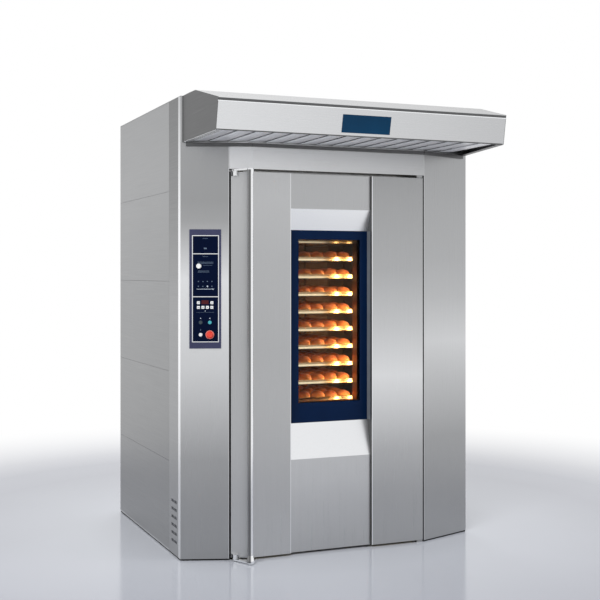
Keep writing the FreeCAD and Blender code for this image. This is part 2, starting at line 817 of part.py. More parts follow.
# ---------------------------------------------------------------- handle
def handle_arm(label, low, pin_low, pin_high):
    """One latch arm: an eye at the bar, a pivot pin, and a hook that goes round the keeper."""
    high = f"{low} + arm_thickness"
    pivot = ("pivot_x", "pivot_y")
    link = doc.addObject("Part::Box", label + "_link")
    link.Placement.Rotation = FreeCAD.Rotation(FreeCAD.Vector(0, 0, 1), 0)
    reach_x, reach_y = "(bar_x - pivot_x)", "(bar_y - pivot_y)"
    length = f"sqrt({reach_x} ^ 2 + {reach_y} ^ 2)"
    bind(link, "Length", length)
    bind(link, "Width", "arm_width")
    bind(link, "Height", "arm_thickness")
    bind(link, "Placement.Base.x", f"pivot_x + arm_width / 2 * {reach_y} / {length}")
    bind(link, "Placement.Base.y", f"pivot_y - arm_width / 2 * {reach_x} / {length}")
    bind(link, "Placement.Base.z", low)
    bind(link, "Placement.Rotation.Angle", f"atan({reach_y} / {reach_x})")
    slice_whole = sector(label + "_slice", pivot, "hook_radius + hook_wall", low, high,
                         "hook_start", "hook_end - hook_start")
    slice_inner = sector(label + "_mouth", pivot, "hook_radius", f"{low} - 1", f"{high} + 1",
                         "hook_start + hook_neck", "hook_end - hook_start")
    return fuse(label, [
        link,
        cut(label + "_hook", slice_whole, [slice_inner]),
        cylinder(label + "_hub", pivot, "pivot_pin_radius + 7", low, high),
        cylinder(label + "_eye", ("bar_x", "bar_y"), "bar_radius + 2", low, high),
        cylinder(label + "_pin", pivot, "pivot_pin_radius", pin_low, pin_high),
    ])


def make_handle():
    foot, head = "lower_arm + arm_thickness", "upper_arm"
    profile = [
        ("0", foot), ("foot_radius", foot), ("foot_radius", f"{foot} + 8"),
        ("bar_radius", f"{foot} + 34"), ("bar_radius", f"{head} - 24"),
        ("bar_radius + 3", f"{head} - 6"), ("bar_radius + 3", head), ("0", head),
    ]
    node(revolve("bar", profile, ("bar_x", "bar_y", "0")), "handle_bar")
    lower = handle_arm("lower_latch", "lower_arm", "lower_arm",
                       "door_bottom + pivot_block_height - 3")
    upper = handle_arm("upper_latch", "upper_arm", "door_top - pivot_block_height + 3",
                       "upper_arm + arm_thickness + 1.5")
    node(group("latch_arms", [lower, upper]), "handle_arms")


# ---------------------------------------------------------------- canopy over the door
def hood_profile(inset):
    """The canopy's side outline, from the cabinet out to the sloping front face."""
    return [
        ("side_front + 40", f"panel_top - {inset}"), ("front - 10", f"panel_top - {inset}"),
        ("-hood_knee_reach", f"hood_knee_height - {inset}"),
        (f"-hood_front_reach + {inset}", f"hood_front_height - {inset}"),
        (f"-hood_foot_reach + {inset}", "hood_bottom"), ("side_front + 40", "hood_bottom"),
    ]


def hood_plan(inset):
    """The canopy's plan: square at the left end and splayed back to the cabinet at the right."""
    left = f"-hood_left_reach + {inset}"
    front = "-hood_front_reach - 20"
    splay = "(body_right - hood_right_reach) / (hood_front_reach - axis_depth)"
    return [
        (left, "side_front + 40"), (left, front),
        (f"hood_right_reach - 20 * {splay} - {inset}", front),
        (f"body_right - {inset}", "side_front"), (f"body_right - {inset}", "side_front + 40"),
    ]


def hood_solid(label, plan_inset, profile_inset, low, high):
    """The canopy as one block, drawn in from its ends and its faces."""
    side = prism(label + "_side", hood_profile(profile_inset), "-hood_left_reach - 20",
                 "body_right + 20", "YZ")
    plan = prism(label + "_plan", hood_plan(plan_inset), low, high)
    return common(label, side, plan)


def make_hood():
    def cabinet(label):
        return prism(label, body_outline("-0.05"), "hood_bottom - 5", "body_height + 5")

    low, high = "hood_bottom", "body_height + 5"
    ends_outer = hood_solid("hood_whole", "0", "0", low, high)
    ends_inner = hood_solid("hood_between", "skin", "-30", "hood_bottom - 1", high)
    node(cut("hood_cheeks", ends_outer, [ends_inner, cabinet("cheek_cabinet")]), "hood_ends")

    cover_outer = hood_solid("hood_cover", "skin", "0", low, high)
    cover_inner = hood_solid("hood_cavity", "-30", "skin", "hood_bottom - 1", high)
    node(cut("hood_folded", cover_outer, [cover_inner, cabinet("cover_cabinet")]), "hood_shell")

    bottom = "hood_bottom + filter_lift"
    panel = hood_solid("filter_panel", "skin", "skin", bottom, f"{bottom} + filter_thickness")
    grooves = []
    for number in range(int(value("baffle_count"))):
        start = f"front - 40 - {number} * ((hood_foot_reach + front - 50) / baffle_count)"
        grooves.append(
            box(f"baffle_{number}", ("-hood_left_reach + 40", "hood_right_reach - 20"),
                (f"{start} - baffle_width", start), (f"{bottom} - 1", f"{bottom} + baffle_depth"))
        )
    node(cut("filters", panel, grooves + [cabinet("filter_cabinet")]), "hood_filters")


# ---------------------------------------------------------------- canopy fan
def make_hood_fan():
    left, right = "hood_fan_x - 100", "hood_fan_x + 100"
    blank = box("fan_box_blank", (left, right), ("front + skin", "hood_fan_y + 100"),
                ("hood_fan_floor", "panel_top"))
    hollow = box("fan_box_hollow", (f"{left} + skin", f"{right} - skin"),
                 ("front + skin - 5", "hood_fan_y + 100 - skin"),
                 ("hood_fan_floor + skin", "panel_top - skin"))
    centre = ("hood_fan_x", "hood_fan_y")
    spigot = cylinder("spigot_blank", centre, "spigot_radius", "panel_top - skin",
                      "body_height + spigot_height")
    collar = cylinder("spigot_collar", centre, "spigot_radius + 12", "body_height",
                      "body_height + collar_height")
    spigot_bore = cylinder("spigot_bore", centre, "spigot_radius - skin", "panel_top - 10",
                           "body_height + spigot_height + 1")
    motor = cylinder("hood_motor", centre, "hood_motor_radius", "hood_fan_floor + 1",
                     "hood_motor_top")
    motor_bore = cylinder("hood_motor_bore", centre, "6 + running_fit",
                          "hood_motor_top - 20", "hood_motor_top + 1")
    shell = cut("fan_box_open", fuse("fan_box_spigot", [blank, spigot, collar]),
                [hollow, spigot_bore])
    node(cut("fan_box", fuse("fan_box_motor", [shell, motor]), [motor_bore]), "hood_fan_housing")

    low = "hood_motor_top + 3"
    disc = [
        ("0", "hood_motor_top - 18"), ("6", "hood_motor_top - 18"), ("6", low),
        ("hood_fan_radius", low), ("hood_fan_radius", f"{low} + 3"), ("22", f"{low} + 3"),
        ("14", f"{low} + 30"), ("0", f"{low} + 30"),
    ]
    wheel = [revolve("hood_wheel_disc", disc, ("hood_fan_x", "hood_fan_y", "0"))]
    for number in range(6):
        vane = doc.addObject("Part::Box", f"hood_vane_{number}")
        vane.Placement.Rotation = FreeCAD.Rotation(FreeCAD.Vector(0, 0, 1), 60 * number)
        bind(vane, "Length", "hood_fan_radius - 12")
        bind(vane, "Width", "2")
        bind(vane, "Height", "55")
        bind(vane, "Placement.Base.x", f"hood_fan_x + 10 * cos({60 * number})")
        bind(vane, "Placement.Base.y", f"hood_fan_y + 10 * sin({60 * number})")
        bind(vane, "Placement.Base.z", f"{low} + 1")
        wheel.append(vane)
    node(fuse("hood_wheel", wheel), "hood_fan_impeller")


# ---------------------------------------------------------------- air duct, heaters, steam
def make_air_duct():
    blank = box("duct_blank", ("chamber_half", "plenum_left"), ("side_front + 1", "chamber_back"),
                ("floor_height", "ceiling_height"))
    slots = [
        box("duct_intake", ("chamber_half - 5", "plenum_left + 5"), ("-170", "170"),
            ("deck_height + 40", "ceiling_height - 40"))
    ]
    for column in range(int(value("slot_columns"))):
        for line in range(int(value("slot_rows"))):
            start = f"-slot_start + {column} * slot_spacing"
            height = f"tray_first + {line} * (deck_height - 200) / slot_rows"
            slots.append(
                box(f"duct_slot_{column}_{line}", ("chamber_half - 5", "plenum_left + 5"),
                    (start, f"{start} + slot_width"), (height, f"{height} + slot_height"))
            )
    wall = cut("duct_wall", blank, slots)
    deck = box("fan_deck", ("plenum_left - 0.5", "plenum_right"),
               ("side_front + 1", "chamber_back"), ("deck_height", "deck_height + 3"))
    eye = cylinder("fan_deck_eye", ("plenum_middle", "0"), "fan_eye_radius",
                   "deck_height - 5", "deck_height + 8")
    pipe_hole = cylinder("fan_deck_pipe_hole", ("water_x", "water_drop_y"), "pipe_radius + 1",
                         "deck_height - 5", "deck_height + 8")
    node(fuse("duct", [wall, cut("fan_deck_open", deck, [eye, pipe_hole])]), "air_duct")


def make_heaters():
    flange = box("heater_flange", ("plenum_left + 35", "plenum_right - 40"),
                 ("chamber_back - 8", "chamber_back"),
                 ("heater_height - 30", "heater_height + 2 * heater_bend + 30"))
    pieces = [flange]
    for number in range(int(value("heater_count"))):
        x = f"plenum_left + heater_margin + {number} * heater_spacing"
        for side, height in (("low", "heater_height"), ("high", "heater_height + 2 * heater_bend")):
            pieces.append(cylinder(f"heater_{number}_{side}", (x, height), "heater_radius",
                                   "-heater_reach", "chamber_back - 1", "y"))
        bend = doc.addObject("Part::Torus", f"heater_{number}_bend")
        bend.Placement.Rotation = FreeCAD.Rotation(
            FreeCAD.Vector(0, 0, -1), FreeCAD.Vector(0, -1, 0), FreeCAD.Vector(-1, 0, 0)
        )
        bend.Angle3 = 180
        bind(bend, "Radius1", "heater_bend")
        bind(bend, "Radius2", "heater_radius")
        bind(bend, "Placement.Base.x", x)
        bind(bend, "Placement.Base.y", "-heater_reach")
        bind(bend, "Placement.Base.z", "heater_height + heater_bend")
        pieces.append(bend)
    node(fuse("heaters", pieces), "heater_bank")


def make_steam_generator():
    left, right = "plenum_left + 20", "plenum_right - 8"
    pieces = []
    for side, place in (("front", "-trough_half - 5"), ("rear", "trough_half")):
        pieces.append(box(f"cascade_{side}", (left, right), (place, f"{place} + 5"),
                          ("panel_lift", "trough_first + 40 + trough_count * trough_pitch")))
    for number in range(int(value("trough_count"))):
        low = f"trough_first + {number} * trough_pitch"
        blank = box(f"trough_{number}_blank", (left, right),
                    ("-trough_half - 1", "trough_half + 1"), (low, f"{low} + trough_height"))
        hollow = box(f"trough_{number}_hollow",
                     (f"{left} + trough_wall", f"{right} - trough_wall"),
                     ("-trough_half", "trough_half"),
                     (f"{low} + trough_wall", f"{low} + trough_height + 1"))
        pieces.append(cut(f"trough_{number}", blank, [hollow]))
    node(fuse("cascade", pieces), "steam_generator")

    bend = "water_bend"
    run_height = "water_height"
    spray_height = "trough_first + 70 + trough_count * trough_pitch"
    drop = ("water_x", "water_drop_y")
    tube = [
        cylinder("water_stub", ("water_x", run_height), "inlet_radius",
                 "rear + 0.3", "rear + inlet_length", "y"),
        cylinder("water_run", ("water_x", run_height), "pipe_radius",
                 f"water_drop_y + {bend}", "rear + 1", "y"),
        cylinder("water_drop", drop, "pipe_radius", f"{spray_height} + {bend}",
                 f"{run_height} - {bend}"),
        cylinder("water_spray", ("water_x", spray_height), "pipe_radius",
                 "spray_start", f"water_drop_y - {bend}", "y"),
    ]
    for label, y, z, start in (
        ("upper", f"water_drop_y + {bend}", f"{run_height} - {bend}", 90),
        ("lower", f"water_drop_y - {bend}", f"{spray_height} + {bend}", 270),
    ):
        elbow = doc.addObject("Part::Torus", f"water_elbow_{label}")
        elbow.Placement.Rotation = FreeCAD.Rotation(
            FreeCAD.Vector(0, 1, 0), FreeCAD.Vector(0, 0, 1), FreeCAD.Vector(1, 0, 0)
        ).multiply(FreeCAD.Rotation(FreeCAD.Vector(0, 0, 1), start))
        elbow.Angle3 = 90
        bind(elbow, "Radius1", bend)
        bind(elbow, "Radius2", "pipe_radius")
        bind(elbow, "Placement.Base.x", "water_x")
        bind(elbow, "Placement.Base.y", y)
        bind(elbow, "Placement.Base.z", z)
        tube.append(elbow)
    node(fuse("water", tube), "water_pipe")


def make_fan():
    """The circulation fan: a hub disc, backward-curved blades and a shroud ring, as one body."""
    body = doc.addObject("PartDesign::Body", "fan_wheel")
    disc = [
        ("0", "0"), ("fan_radius", "0"), ("fan_radius", "3"), ("34", "3"), ("28", "40"),
        ("fan_shaft_radius", "44"), ("fan_shaft_radius", "roof_space + 28 - fan_bottom"),
        ("0", "roof_space + 28 - fan_bottom"),
    ]
    hub_sketch = outline(body, "XZ", disc)
    hub = body.newObject("PartDesign::Revolution", "fan_hub")
    hub.Profile = hub_sketch
    hub.ReferenceAxis = (hub_sketch, ["V_Axis"])
    hub.Angle = 360

    blade_sketch = body.newObject("Sketcher::SketchObject", "blade_outline")
    planes = {feature.Role: feature for feature in body.Origin.OriginFeatures}
    blade_sketch.AttachmentSupport = (planes["XY_Plane"], [""])
    blade_sketch.MapMode = "FlatFace"
    bind(blade_sketch, "AttachmentOffset.Base.z", "blade_seat")

    def near(x, y):
        return (f"({x}) + (blade_middle_x - ({x})) * blade_share",
                f"({y}) + (blade_middle_y - ({y})) * blade_share")

    def spot(pair):
        return FreeCAD.Vector(value(pair[0]), value(pair[1]), 0)

    root, tip = ("blade_root", "0"), ("blade_end_x", "blade_end_y")
    ends = {"outer": (tip, root), "inner": (near(*tip), near(*root))}
    middle = FreeCAD.Vector(value("blade_middle_x"), value("blade_middle_y"), 0)
    for first, last in ends.values():
        start, stop = spot(first) - middle, spot(last) - middle
        circle = Part.Circle(middle, FreeCAD.Vector(0, 0, 1), start.Length)
        angles = [FreeCAD.Vector(1, 0, 0).getAngle(arm) * (1 if arm.y >= 0 else -1)
                  for arm in (start, stop)]
        blade_sketch.addGeometry(Part.ArcOfCircle(circle, angles[0], angles[1]), False)
    blade_sketch.addGeometry(Part.LineSegment(spot(ends["outer"][0]), spot(ends["inner"][0])))
    blade_sketch.addGeometry(Part.LineSegment(spot(ends["outer"][1]), spot(ends["inner"][1])))
    for joint in ((0, 1, 2, 1), (1, 1, 2, 2), (0, 2, 3, 1), (1, 2, 3, 2), (0, 3, 1, 3)):
        blade_sketch.addConstraint(Sketcher.Constraint("Coincident", *joint))
    for edge, point, pair in (
        (0, 3, ("blade_middle_x", "blade_middle_y")), (0, 1, tip), (1, 1, near(*tip)),
    ):
        for kind, text in zip(("DistanceX", "DistanceY"), pair):
            held = blade_sketch.addConstraint(
                Sketcher.Constraint(kind, edge, point, value(text)))
            blade_sketch.setExpression(f"Constraints[{held}]", expand(text))
    for edge, pair in ((0, root), (1, near(*root))):
        held = blade_sketch.addConstraint(
            Sketcher.Constraint("DistanceY", edge, 2, value(pair[1])))
        blade_sketch.setExpression(f"Constraints[{held}]", expand(pair[1]))
    blade = body.newObject("PartDesign::Pad", "fan_blade")
    blade.Profile = blade_sketch
    bind(blade, "Length", "fan_height - 4")
    ring = body.newObject("PartDesign::PolarPattern", "fan_blades")
    ring.Originals = [blade]
    ring.Axis = (planes["Z_Axis"], [""])
    ring.Angle = 360
    bind(ring, "Occurrences", "blade_count")
    body.Tip = ring

    shroud_sketch = outline(body, "XZ", [
        ("fan_eye_radius", "fan_height - 3"), ("fan_radius", "fan_height - 3"),
        ("fan_radius", "fan_height"), ("fan_eye_radius", "fan_height"),
    ])
    shroud = body.newObject("PartDesign::Revolution", "fan_shroud")
    shroud.Profile = shroud_sketch
    shroud.ReferenceAxis = (shroud_sketch, ["V_Axis"])
    shroud.Angle = 360
    body.Tip = shroud
    for name, place in zip("xyz", ("plenum_middle", "0", "fan_bottom")):
        bind(body, "Placement.Base." + name, place)
    node(body, "fan_impeller")

    base = "roof_space"
    case = [
        ("0", base), ("fan_motor_radius + 20", base), ("fan_motor_radius + 20", f"{base} + 10"),
        ("fan_motor_radius", f"{base} + 10"), ("fan_motor_radius", f"{base} + 150"),
        ("fan_motor_radius - 6", f"{base} + 156"), ("fan_motor_radius - 6", f"{base} + 200"),
        ("fan_motor_radius - 30", f"{base} + 215"), ("0", f"{base} + 215"),
    ]
    motor = revolve("fan_motor_case", case, ("plenum_middle", "0", "0"))
    bore = cylinder("fan_motor_bore", ("plenum_middle", "0"), "fan_shaft_radius + running_fit",
                    f"{base} - 1", f"{base} + 30")
    node(cut("fan_motor_bored", motor, [bore]), "fan_motor")


# ---------------------------------------------------------------- rack drive, lamps and flue
def make_drive():
    half = "gearbox_half"
    plate = box("gear_plate", (f"-{half}", half), (f"-{half}", half),
                ("roof_space", "roof_space + gearbox_height"))
    motor = cylinder("gear_motor", ("0", "roof_space + motor_lift"), "motor_radius",
                     f"{half} - 1", f"{half} + motor_length", "y")
    bore = cylinder("gear_bore", ("0", "0"), "shaft_radius + running_fit",
                    "roof_space - 1", "roof_space + 90")
    node(cut("gear_unit", fuse("gear_case", [plate, motor]), [bore]), "rack_gearmotor")

    shaft = cylinder("drive_shaft", ("0", "0"), "shaft_radius", "crossbar_top + 20",
                     "roof_space + 88")
    yoke = box("yoke_blank", ("-fork_half_length", "fork_half_length"),
               ("-fork_half_width", "fork_half_width"), ("rack_top + 2", "crossbar_top + 30"))
    slot = box("yoke_slot", ("-fork_half_length - 1", "fork_half_length + 1"),
               ("-rack_tube / 2 - fork_gap", "rack_tube / 2 + fork_gap"),
               ("rack_top + 1", "crossbar_top + fork_gap"))
    node(fuse("drive", [shaft, cut("yoke", yoke, [slot])]), "drive_fork")


def make_lamps():
    """The box round the panes on the door's inner side, with two lamp tubes in its right stile."""
    deep = ("door_back", "door_back + lamp_box_depth")
    blank = box("lamp_box_blank",
                ("pane_left - lamp_box_wall", "pane_right + lamp_stile"), deep,
                ("pane_bottom - lamp_box_wall", "pane_top + lamp_box_wall"))
    view = window_box("lamp_box_view", "0", ("door_back - 1", "door_back + lamp_box_depth + 1"))
    trough = box("lamp_box_trough",
                 ("pane_right + lamp_box_wall", "pane_right + lamp_stile - lamp_box_wall"),
                 ("door_back + skin", "door_back + lamp_box_depth + 1"),
                 ("pane_bottom", "pane_top"))
    node(cut("lamp_box", blank, [view, trough]), "lamp_housing")
    tubes = []
    for number in range(2):
        centre = (f"pane_right + lamp_inset + {number} * lamp_spacing",
                  "door_back + lamp_box_depth / 2")
        tubes.append(cylinder(f"lamp_tube_{number}", centre, "lamp_radius",
                              "pane_bottom", "pane_top"))
    node(group("lamp_tubes", tubes), "door_lamps")


def make_flue():
    centre = ("flue_x", "flue_y")
    tube = cylinder("flue_blank", centre, "flue_radius", "ceiling_top", "flue_top")
    bore = cylinder("flue_bore", centre, "flue_radius - flue_wall", "ceiling_top - 1",
                    "flue_top + 1")
    spindle_hole = cylinder("flue_spindle_hole", ("flue_y", "damper_height"), "4 + running_fit",
                            "flue_x - flue_radius - 5", "flue_x + flue_radius + 5", "x")
    collar = cylinder("flue_collar", centre, "flue_radius + 18", "body_height",
                      "body_height + collar_height")
    node(cut("flue", fuse("flue_collared", [tube, collar]), [bore, spindle_hole]), "flue_pipe")

    flap = cylinder("damper_disc", centre, "flue_radius - flue_wall - 0.5",
                    "damper_height - 1", "damper_height + 1")
    spindle = cylinder("damper_spindle", ("flue_y", "damper_height"), "4",
                       "flue_x - flue_radius - 4", "flue_x + flue_radius + 20", "x")
    node(fuse("damper", [flap, spindle]), "damper_flap")
    case = box("actuator_case", ("flue_x + flue_radius + 0.3", "flue_x + flue_radius + 80"),
               ("flue_y - 30", "flue_y + 30"), ("damper_height - 40", "damper_height + 40"))
    socket = cylinder("actuator_socket", ("flue_y", "damper_height"), "4 + running_fit",
                      "flue_x + flue_radius - 1", "flue_x + flue_radius + 22", "x")
    node(cut("actuator", case, [socket]), "damper_actuator")


def make_electrics():
    node(
        box("electrics",
            ("-plenum_left - insulation - electrics_width", "-plenum_left - insulation"),
            ("-electrics_front", "-electrics_rear"), ("electrics_bottom", "electrics_top")),
        "electrics_box",
    )


# ---------------------------------------------------------------- rack
def frame_ring(label, low, high):
    outer = box(label + "_outer", ("-rack_half_width", "rack_half_width"),
                ("-rack_half_depth", "rack_half_depth"), (low, high))
    inner = box(label + "_inner",
                ("-rack_half_width + rack_tube", "rack_half_width - rack_tube"),
                ("-rack_half_depth + rack_tube", "rack_half_depth - rack_tube"),
                (f"{low} - 1", f"{high} + 1"))
    return cut(label, outer, [inner])


def make_rack():
    pieces = [
        frame_ring("rack_foot", "rack_bottom", "rack_bottom + rack_tube"),
        frame_ring("rack_head", "rack_top - rack_tube", "rack_top"),
        box("rack_crossbar", ("-rack_half_width", "rack_half_width"),
            ("-rack_tube / 2", "rack_tube / 2"), ("rack_top - 1", "crossbar_top")),
    ]
    for side, low in (("left", "-rack_half_width"), ("right", "rack_half_width - rack_tube")):
        for end, start in (("front", "-rack_half_depth"), ("rear", "rack_half_depth - rack_tube")):
            pieces.append(box(f"upright_{side}_{end}", (low, f"{low} + rack_tube"),
                              (start, f"{start} + rack_tube"),
                              ("rack_bottom + 1", "rack_top - 1")))
    for end, y in (("front", "-caster_y"), ("rear", "caster_y")):
        pieces.append(box(f"caster_beam_{end}", ("-rack_half_width + 1", "rack_half_width - 1"),
                          (f"{y} - 35", f"{y} + 35"), ("rack_bottom", "rack_bottom + 8")))
    node(fuse("rack", pieces), "rack_frame")

    inner = "rack_half_width - rack_tube"
    runners = []
    trays = []
    for number in range(int(value("tray_count"))):
        level = f"tray_first + {number} * tray_pitch"
        left = [
            (f"-({inner})", f"{level} - runner_wall"), (f"-({inner}) + runner_leg",
                                                        f"{level} - runner_wall"),
            (f"-({inner}) + runner_leg", level), (f"-({inner}) + runner_wall", level),
            (f"-({inner}) + runner_wall", f"{level} + runner_leg"),
            (f"-({inner})", f"{level} + runner_leg"),
        ]
        right = [(f"-({x})", z) for x, z in left]
        span = ("-tray_half_depth + 5", "tray_half_depth - 5")
        runners.append(prism(f"runner_left_{number}", left, *span, "XZ"))
        runners.append(prism(f"runner_right_{number}", right, *span, "XZ"))
        blank = box(f"tray_{number}_blank", ("-tray_half_width", "tray_half_width"),
                    ("-tray_half_depth", "tray_half_depth"), (level, f"{level} + tray_rim"))
        hollow = box(f"tray_{number}_hollow",
                     ("-tray_half_width + tray_wall", "tray_half_width - tray_wall"),
                     ("-tray_half_depth + tray_wall", "tray_half_depth - tray_wall"),
                     (f"{level} + tray_wall", f"{level} + tray_rim + 1"))
        trays.append(cut(f"tray_{number}", blank, [hollow]))
    node(group("runner_set", runners), "tray_runners")
    node(group("tray_set", trays), "baking_trays")

    table = [
        ("spindle_radius + running_fit", "table_bottom"),
        ("turntable_radius", "table_bottom"), ("turntable_radius", "table_bottom + 1"),
        ("turntable_radius - 15", "table_top"), ("spindle_radius + running_fit", "table_top"),
    ]
    node(revolve("table", table, ("0", "0", "0")), "turntable")


def caster_fork(label, x, y, wheel_y, top):
    """Two legs, a head plate and an axle; the wheel may trail behind the head."""
    inner_gap = "(wheel_width / 2 + 1)"
    legs = []
    for side, low in (("left", f"{x} - {inner_gap} - fork_wall"), ("right", f"{x} + {inner_gap}")):
        slope = [
            (f"{y} - 16", top), (f"{y} + 16", top), (f"{wheel_y} + 10", "wheel_centre - 8"),
            (f"{wheel_y} - 10", "wheel_centre - 8"),
        ]
        legs.append(prism(f"{label}_{side}_leg", slope, low, f"{low} + fork_wall", "YZ"))
    reach = f"({inner_gap} + fork_wall)"
    head = box(f"{label}_head", (f"{x} - {reach}", f"{x} + {reach}"), (f"{y} - 22", f"{y} + 22"),
               (f"{top} - 4", top))
    axle = cylinder(f"{label}_axle", (wheel_y, "wheel_centre"), "axle_radius",
                    f"{x} - {reach} - 3", f"{x} + {reach} + 3", "x")
    return fuse(label + "_body", legs + [head, axle])


def make_casters():
    mounts = []
    flat_turn = FreeCAD.Rotation(FreeCAD.Vector(0, 1, 0), 90)
    tread = [
        ("axle_radius + running_fit", "-wheel_width / 2"),
        ("wheel_radius - 3", "-wheel_width / 2"), ("wheel_radius", "-wheel_width / 2 + 4"),
        ("wheel_radius", "wheel_width / 2 - 4"), ("wheel_radius - 3", "wheel_width / 2"),
        ("axle_radius + running_fit", "wheel_width / 2"),
    ]
    for side, x in (("left", "-caster_x"), ("right", "caster_x")):
        rear = caster_fork(f"rear_caster_{side}", x, "caster_y", "caster_y", "fork_top")
        plate = box(f"rear_plate_{side}", (f"{x} - caster_plate_x", f"{x} + caster_plate_x"),
                    ("caster_y - caster_plate_y", "caster_y + caster_plate_y"),
                    ("fork_top - 1", "rack_bottom"))
        mounts.append(fuse(f"fixed_caster_{side}", [rear, plate]))
        front_plate = box(f"front_plate_{side}", (f"{x} - caster_plate_x", f"{x} + caster_plate_x"),
                          ("-caster_y - caster_plate_y", "-caster_y + caster_plate_y"),
                          ("fork_top", "rack_bottom"))
        kingpin = cylinder(f"kingpin_{side}", (x, "-caster_y"), "kingpin_radius",
                           "fork_top - 8", "fork_top + 1")
        mounts.append(fuse(f"swivel_mount_{side}", [front_plate, kingpin]))
        fork = caster_fork(f"front_caster_{side}", x, "-caster_y", "-caster_y - caster_trail",
                           "fork_top - 0.3")
        bore = cylinder(f"kingpin_bore_{side}", (x, "-caster_y"), "kingpin_radius + running_fit",
                        "fork_top - 20", "fork_top + 1")
        node(cut(f"swivel_{side}", fork, [bore]), f"swivel_fork_{side}")
        for end, y in (("front", "-caster_y - caster_trail"), ("rear", "caster_y")):
            node(revolve(f"tread_{end}_{side}", tread, (x, y, "wheel_centre"), flat_turn),
                 f"wheel_{end}_{side}")
    node(group("caster_set", mounts), "caster_mounts")


# ---------------------------------------------------------------- control panel
def on_facet(along, out):
    """X and Y of a point on the left facet: a distance along it and a distance out of it."""
    return (
        f"body_left + ({along}) * cos(facet_angle) - ({out}) * sin(facet_angle)",
        f"side_front - ({along}) * sin(facet_angle) - ({out}) * cos(facet_angle)",
    )


def facet_round(label, along, height, profile, start):
    """A round piece that stands out of the left facet; profile is (radius, out) points."""
    body = doc.addObject("PartDesign::Body", label)
    sketch = outline(body, "YZ", [(f"-({out})", radius) for radius, out in profile])
    spin = body.newObject("PartDesign::Revolution", label + "_spin")
    spin.Profile = sketch
    spin.ReferenceAxis = (sketch, ["H_Axis"])
    spin.Angle = 360
    body.Tip = spin
    x, y = on_facet(along, start)
    for name, place in zip("xyz", (x, y, height)):
        bind(body, "Placement.Base." + name, place)
    body.Placement.Rotation = FreeCAD.Rotation(FreeCAD.Vector(0, 0, -1), 10)
    bind(body, "Placement.Rotation.Angle", "facet_angle")
    return body


def make_controls():
    face = doc.addObject("Part::Box", "bezel_blank")
    face.Placement.Rotation = FreeCAD.Rotation(FreeCAD.Vector(0, 0, -1), 10)
    bind(face, "Placement.Rotation.Angle", "facet_angle")
    bind(face, "Length", "control_right - control_left")
    bind(face, "Width", "control_depth")
    bind(face, "Height", "control_top - control_bottom")
    x, y = on_facet("control_left", "control_depth")
    for name, place in zip("xyz", (x, y, "control_bottom")):
        bind(face, "Placement.Base." + name, place)

    floor = "control_depth - button_depth"
    spots = {
        "start_button": ("left_button_along", "upper_button_height", "button_radius"),
        "steam_button": ("right_button_along", "upper_button_height", "button_radius"),
        "lamp_button": ("left_button_along", "lower_button_height", "button_radius"),
        "stop_button": ("right_button_along", "lower_button_height", "button_radius"),
        "selector_knob": ("knob_along", "knob_height", "knob_radius / 2"),
    }
    wells = []
    for label, (along, height, radius) in spots.items():
        profile = [("0", "0"), (f"{radius} + 0.5", "0"), (f"{radius} + 0.5", "20"), ("0", "20")]
        wells.append(facet_round(label + "_well", along, height, profile, floor))
    node(cut("bezel", face, wells), "control_panel")

    stand = "button_depth + button_stand"
    lift = "3.5"
    for label in ("start_button", "steam_button", "lamp_button"):
        along, height, radius = spots[label]
        profile = [
            ("0", lift), (radius, lift), (radius, f"{stand} - 1.5"),
            (f"{radius} - 1.5", stand), ("0", stand),
        ]
        node(facet_round(label + "_cap", along, height, profile, floor), label)
    along, height, radius = spots["stop_button"]
    mushroom = [
        ("0", "5.5"), (radius, "5.5"), (radius, "button_depth + 6"),
        ("stop_radius", "button_depth + 8"), ("stop_radius", "button_depth + 14"),
        ("stop_radius - 5", "button_depth + 19"), ("0", "button_depth + 19"),
    ]
    node(facet_round("stop_cap", along, height, mushroom, floor), "stop_button")
    along, height, radius = spots["selector_knob"]
    knob = [
        ("0", "0.3"), (radius, "0.3"), (radius, "button_depth + 0.5"),
        ("knob_radius", "button_depth + 0.5"), ("knob_radius - 1", "button_depth + 12"),
        ("knob_radius - 3", "button_depth + 14"), ("0", "button_depth + 14"),
    ]
    node(facet_round("knob_cap", along, height, knob, floor), "selector_knob")


# ---------------------------------------------------------------- build, check and write
make_base()
make_chamber()
make_front_frame()
make_front_panels()
make_cabinet()
make_brackets()
make_door_panels()
make_window()
make_door_core()
make_handle()
make_hood()
make_hood_fan()
make_air_duct()
make_heaters()
make_steam_generator()
make_fan()
make_drive()
make_lamps()
make_flue()
make_electrics()
make_rack()
make_casters()
make_controls()
doc.recompute()

for item in doc.Objects:
    if {"Invalid", "Error"} & set(item.State):
        raise RuntimeError(f"{item.Label} did not build")
os.makedirs("parts", exist_ok=True)
for item in nodes:
    if item.Shape.isNull() or not item.Shape.isValid() or not item.Shape.Solids:
        raise RuntimeError(f"{item.Label} has no valid solid")
    item.Shape.exportStep(f"parts/{item.Label}.step")
print(len(nodes), "nodes written")
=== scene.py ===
import math
import random

import bmesh
import bpy
from mathutils import Matrix, Vector


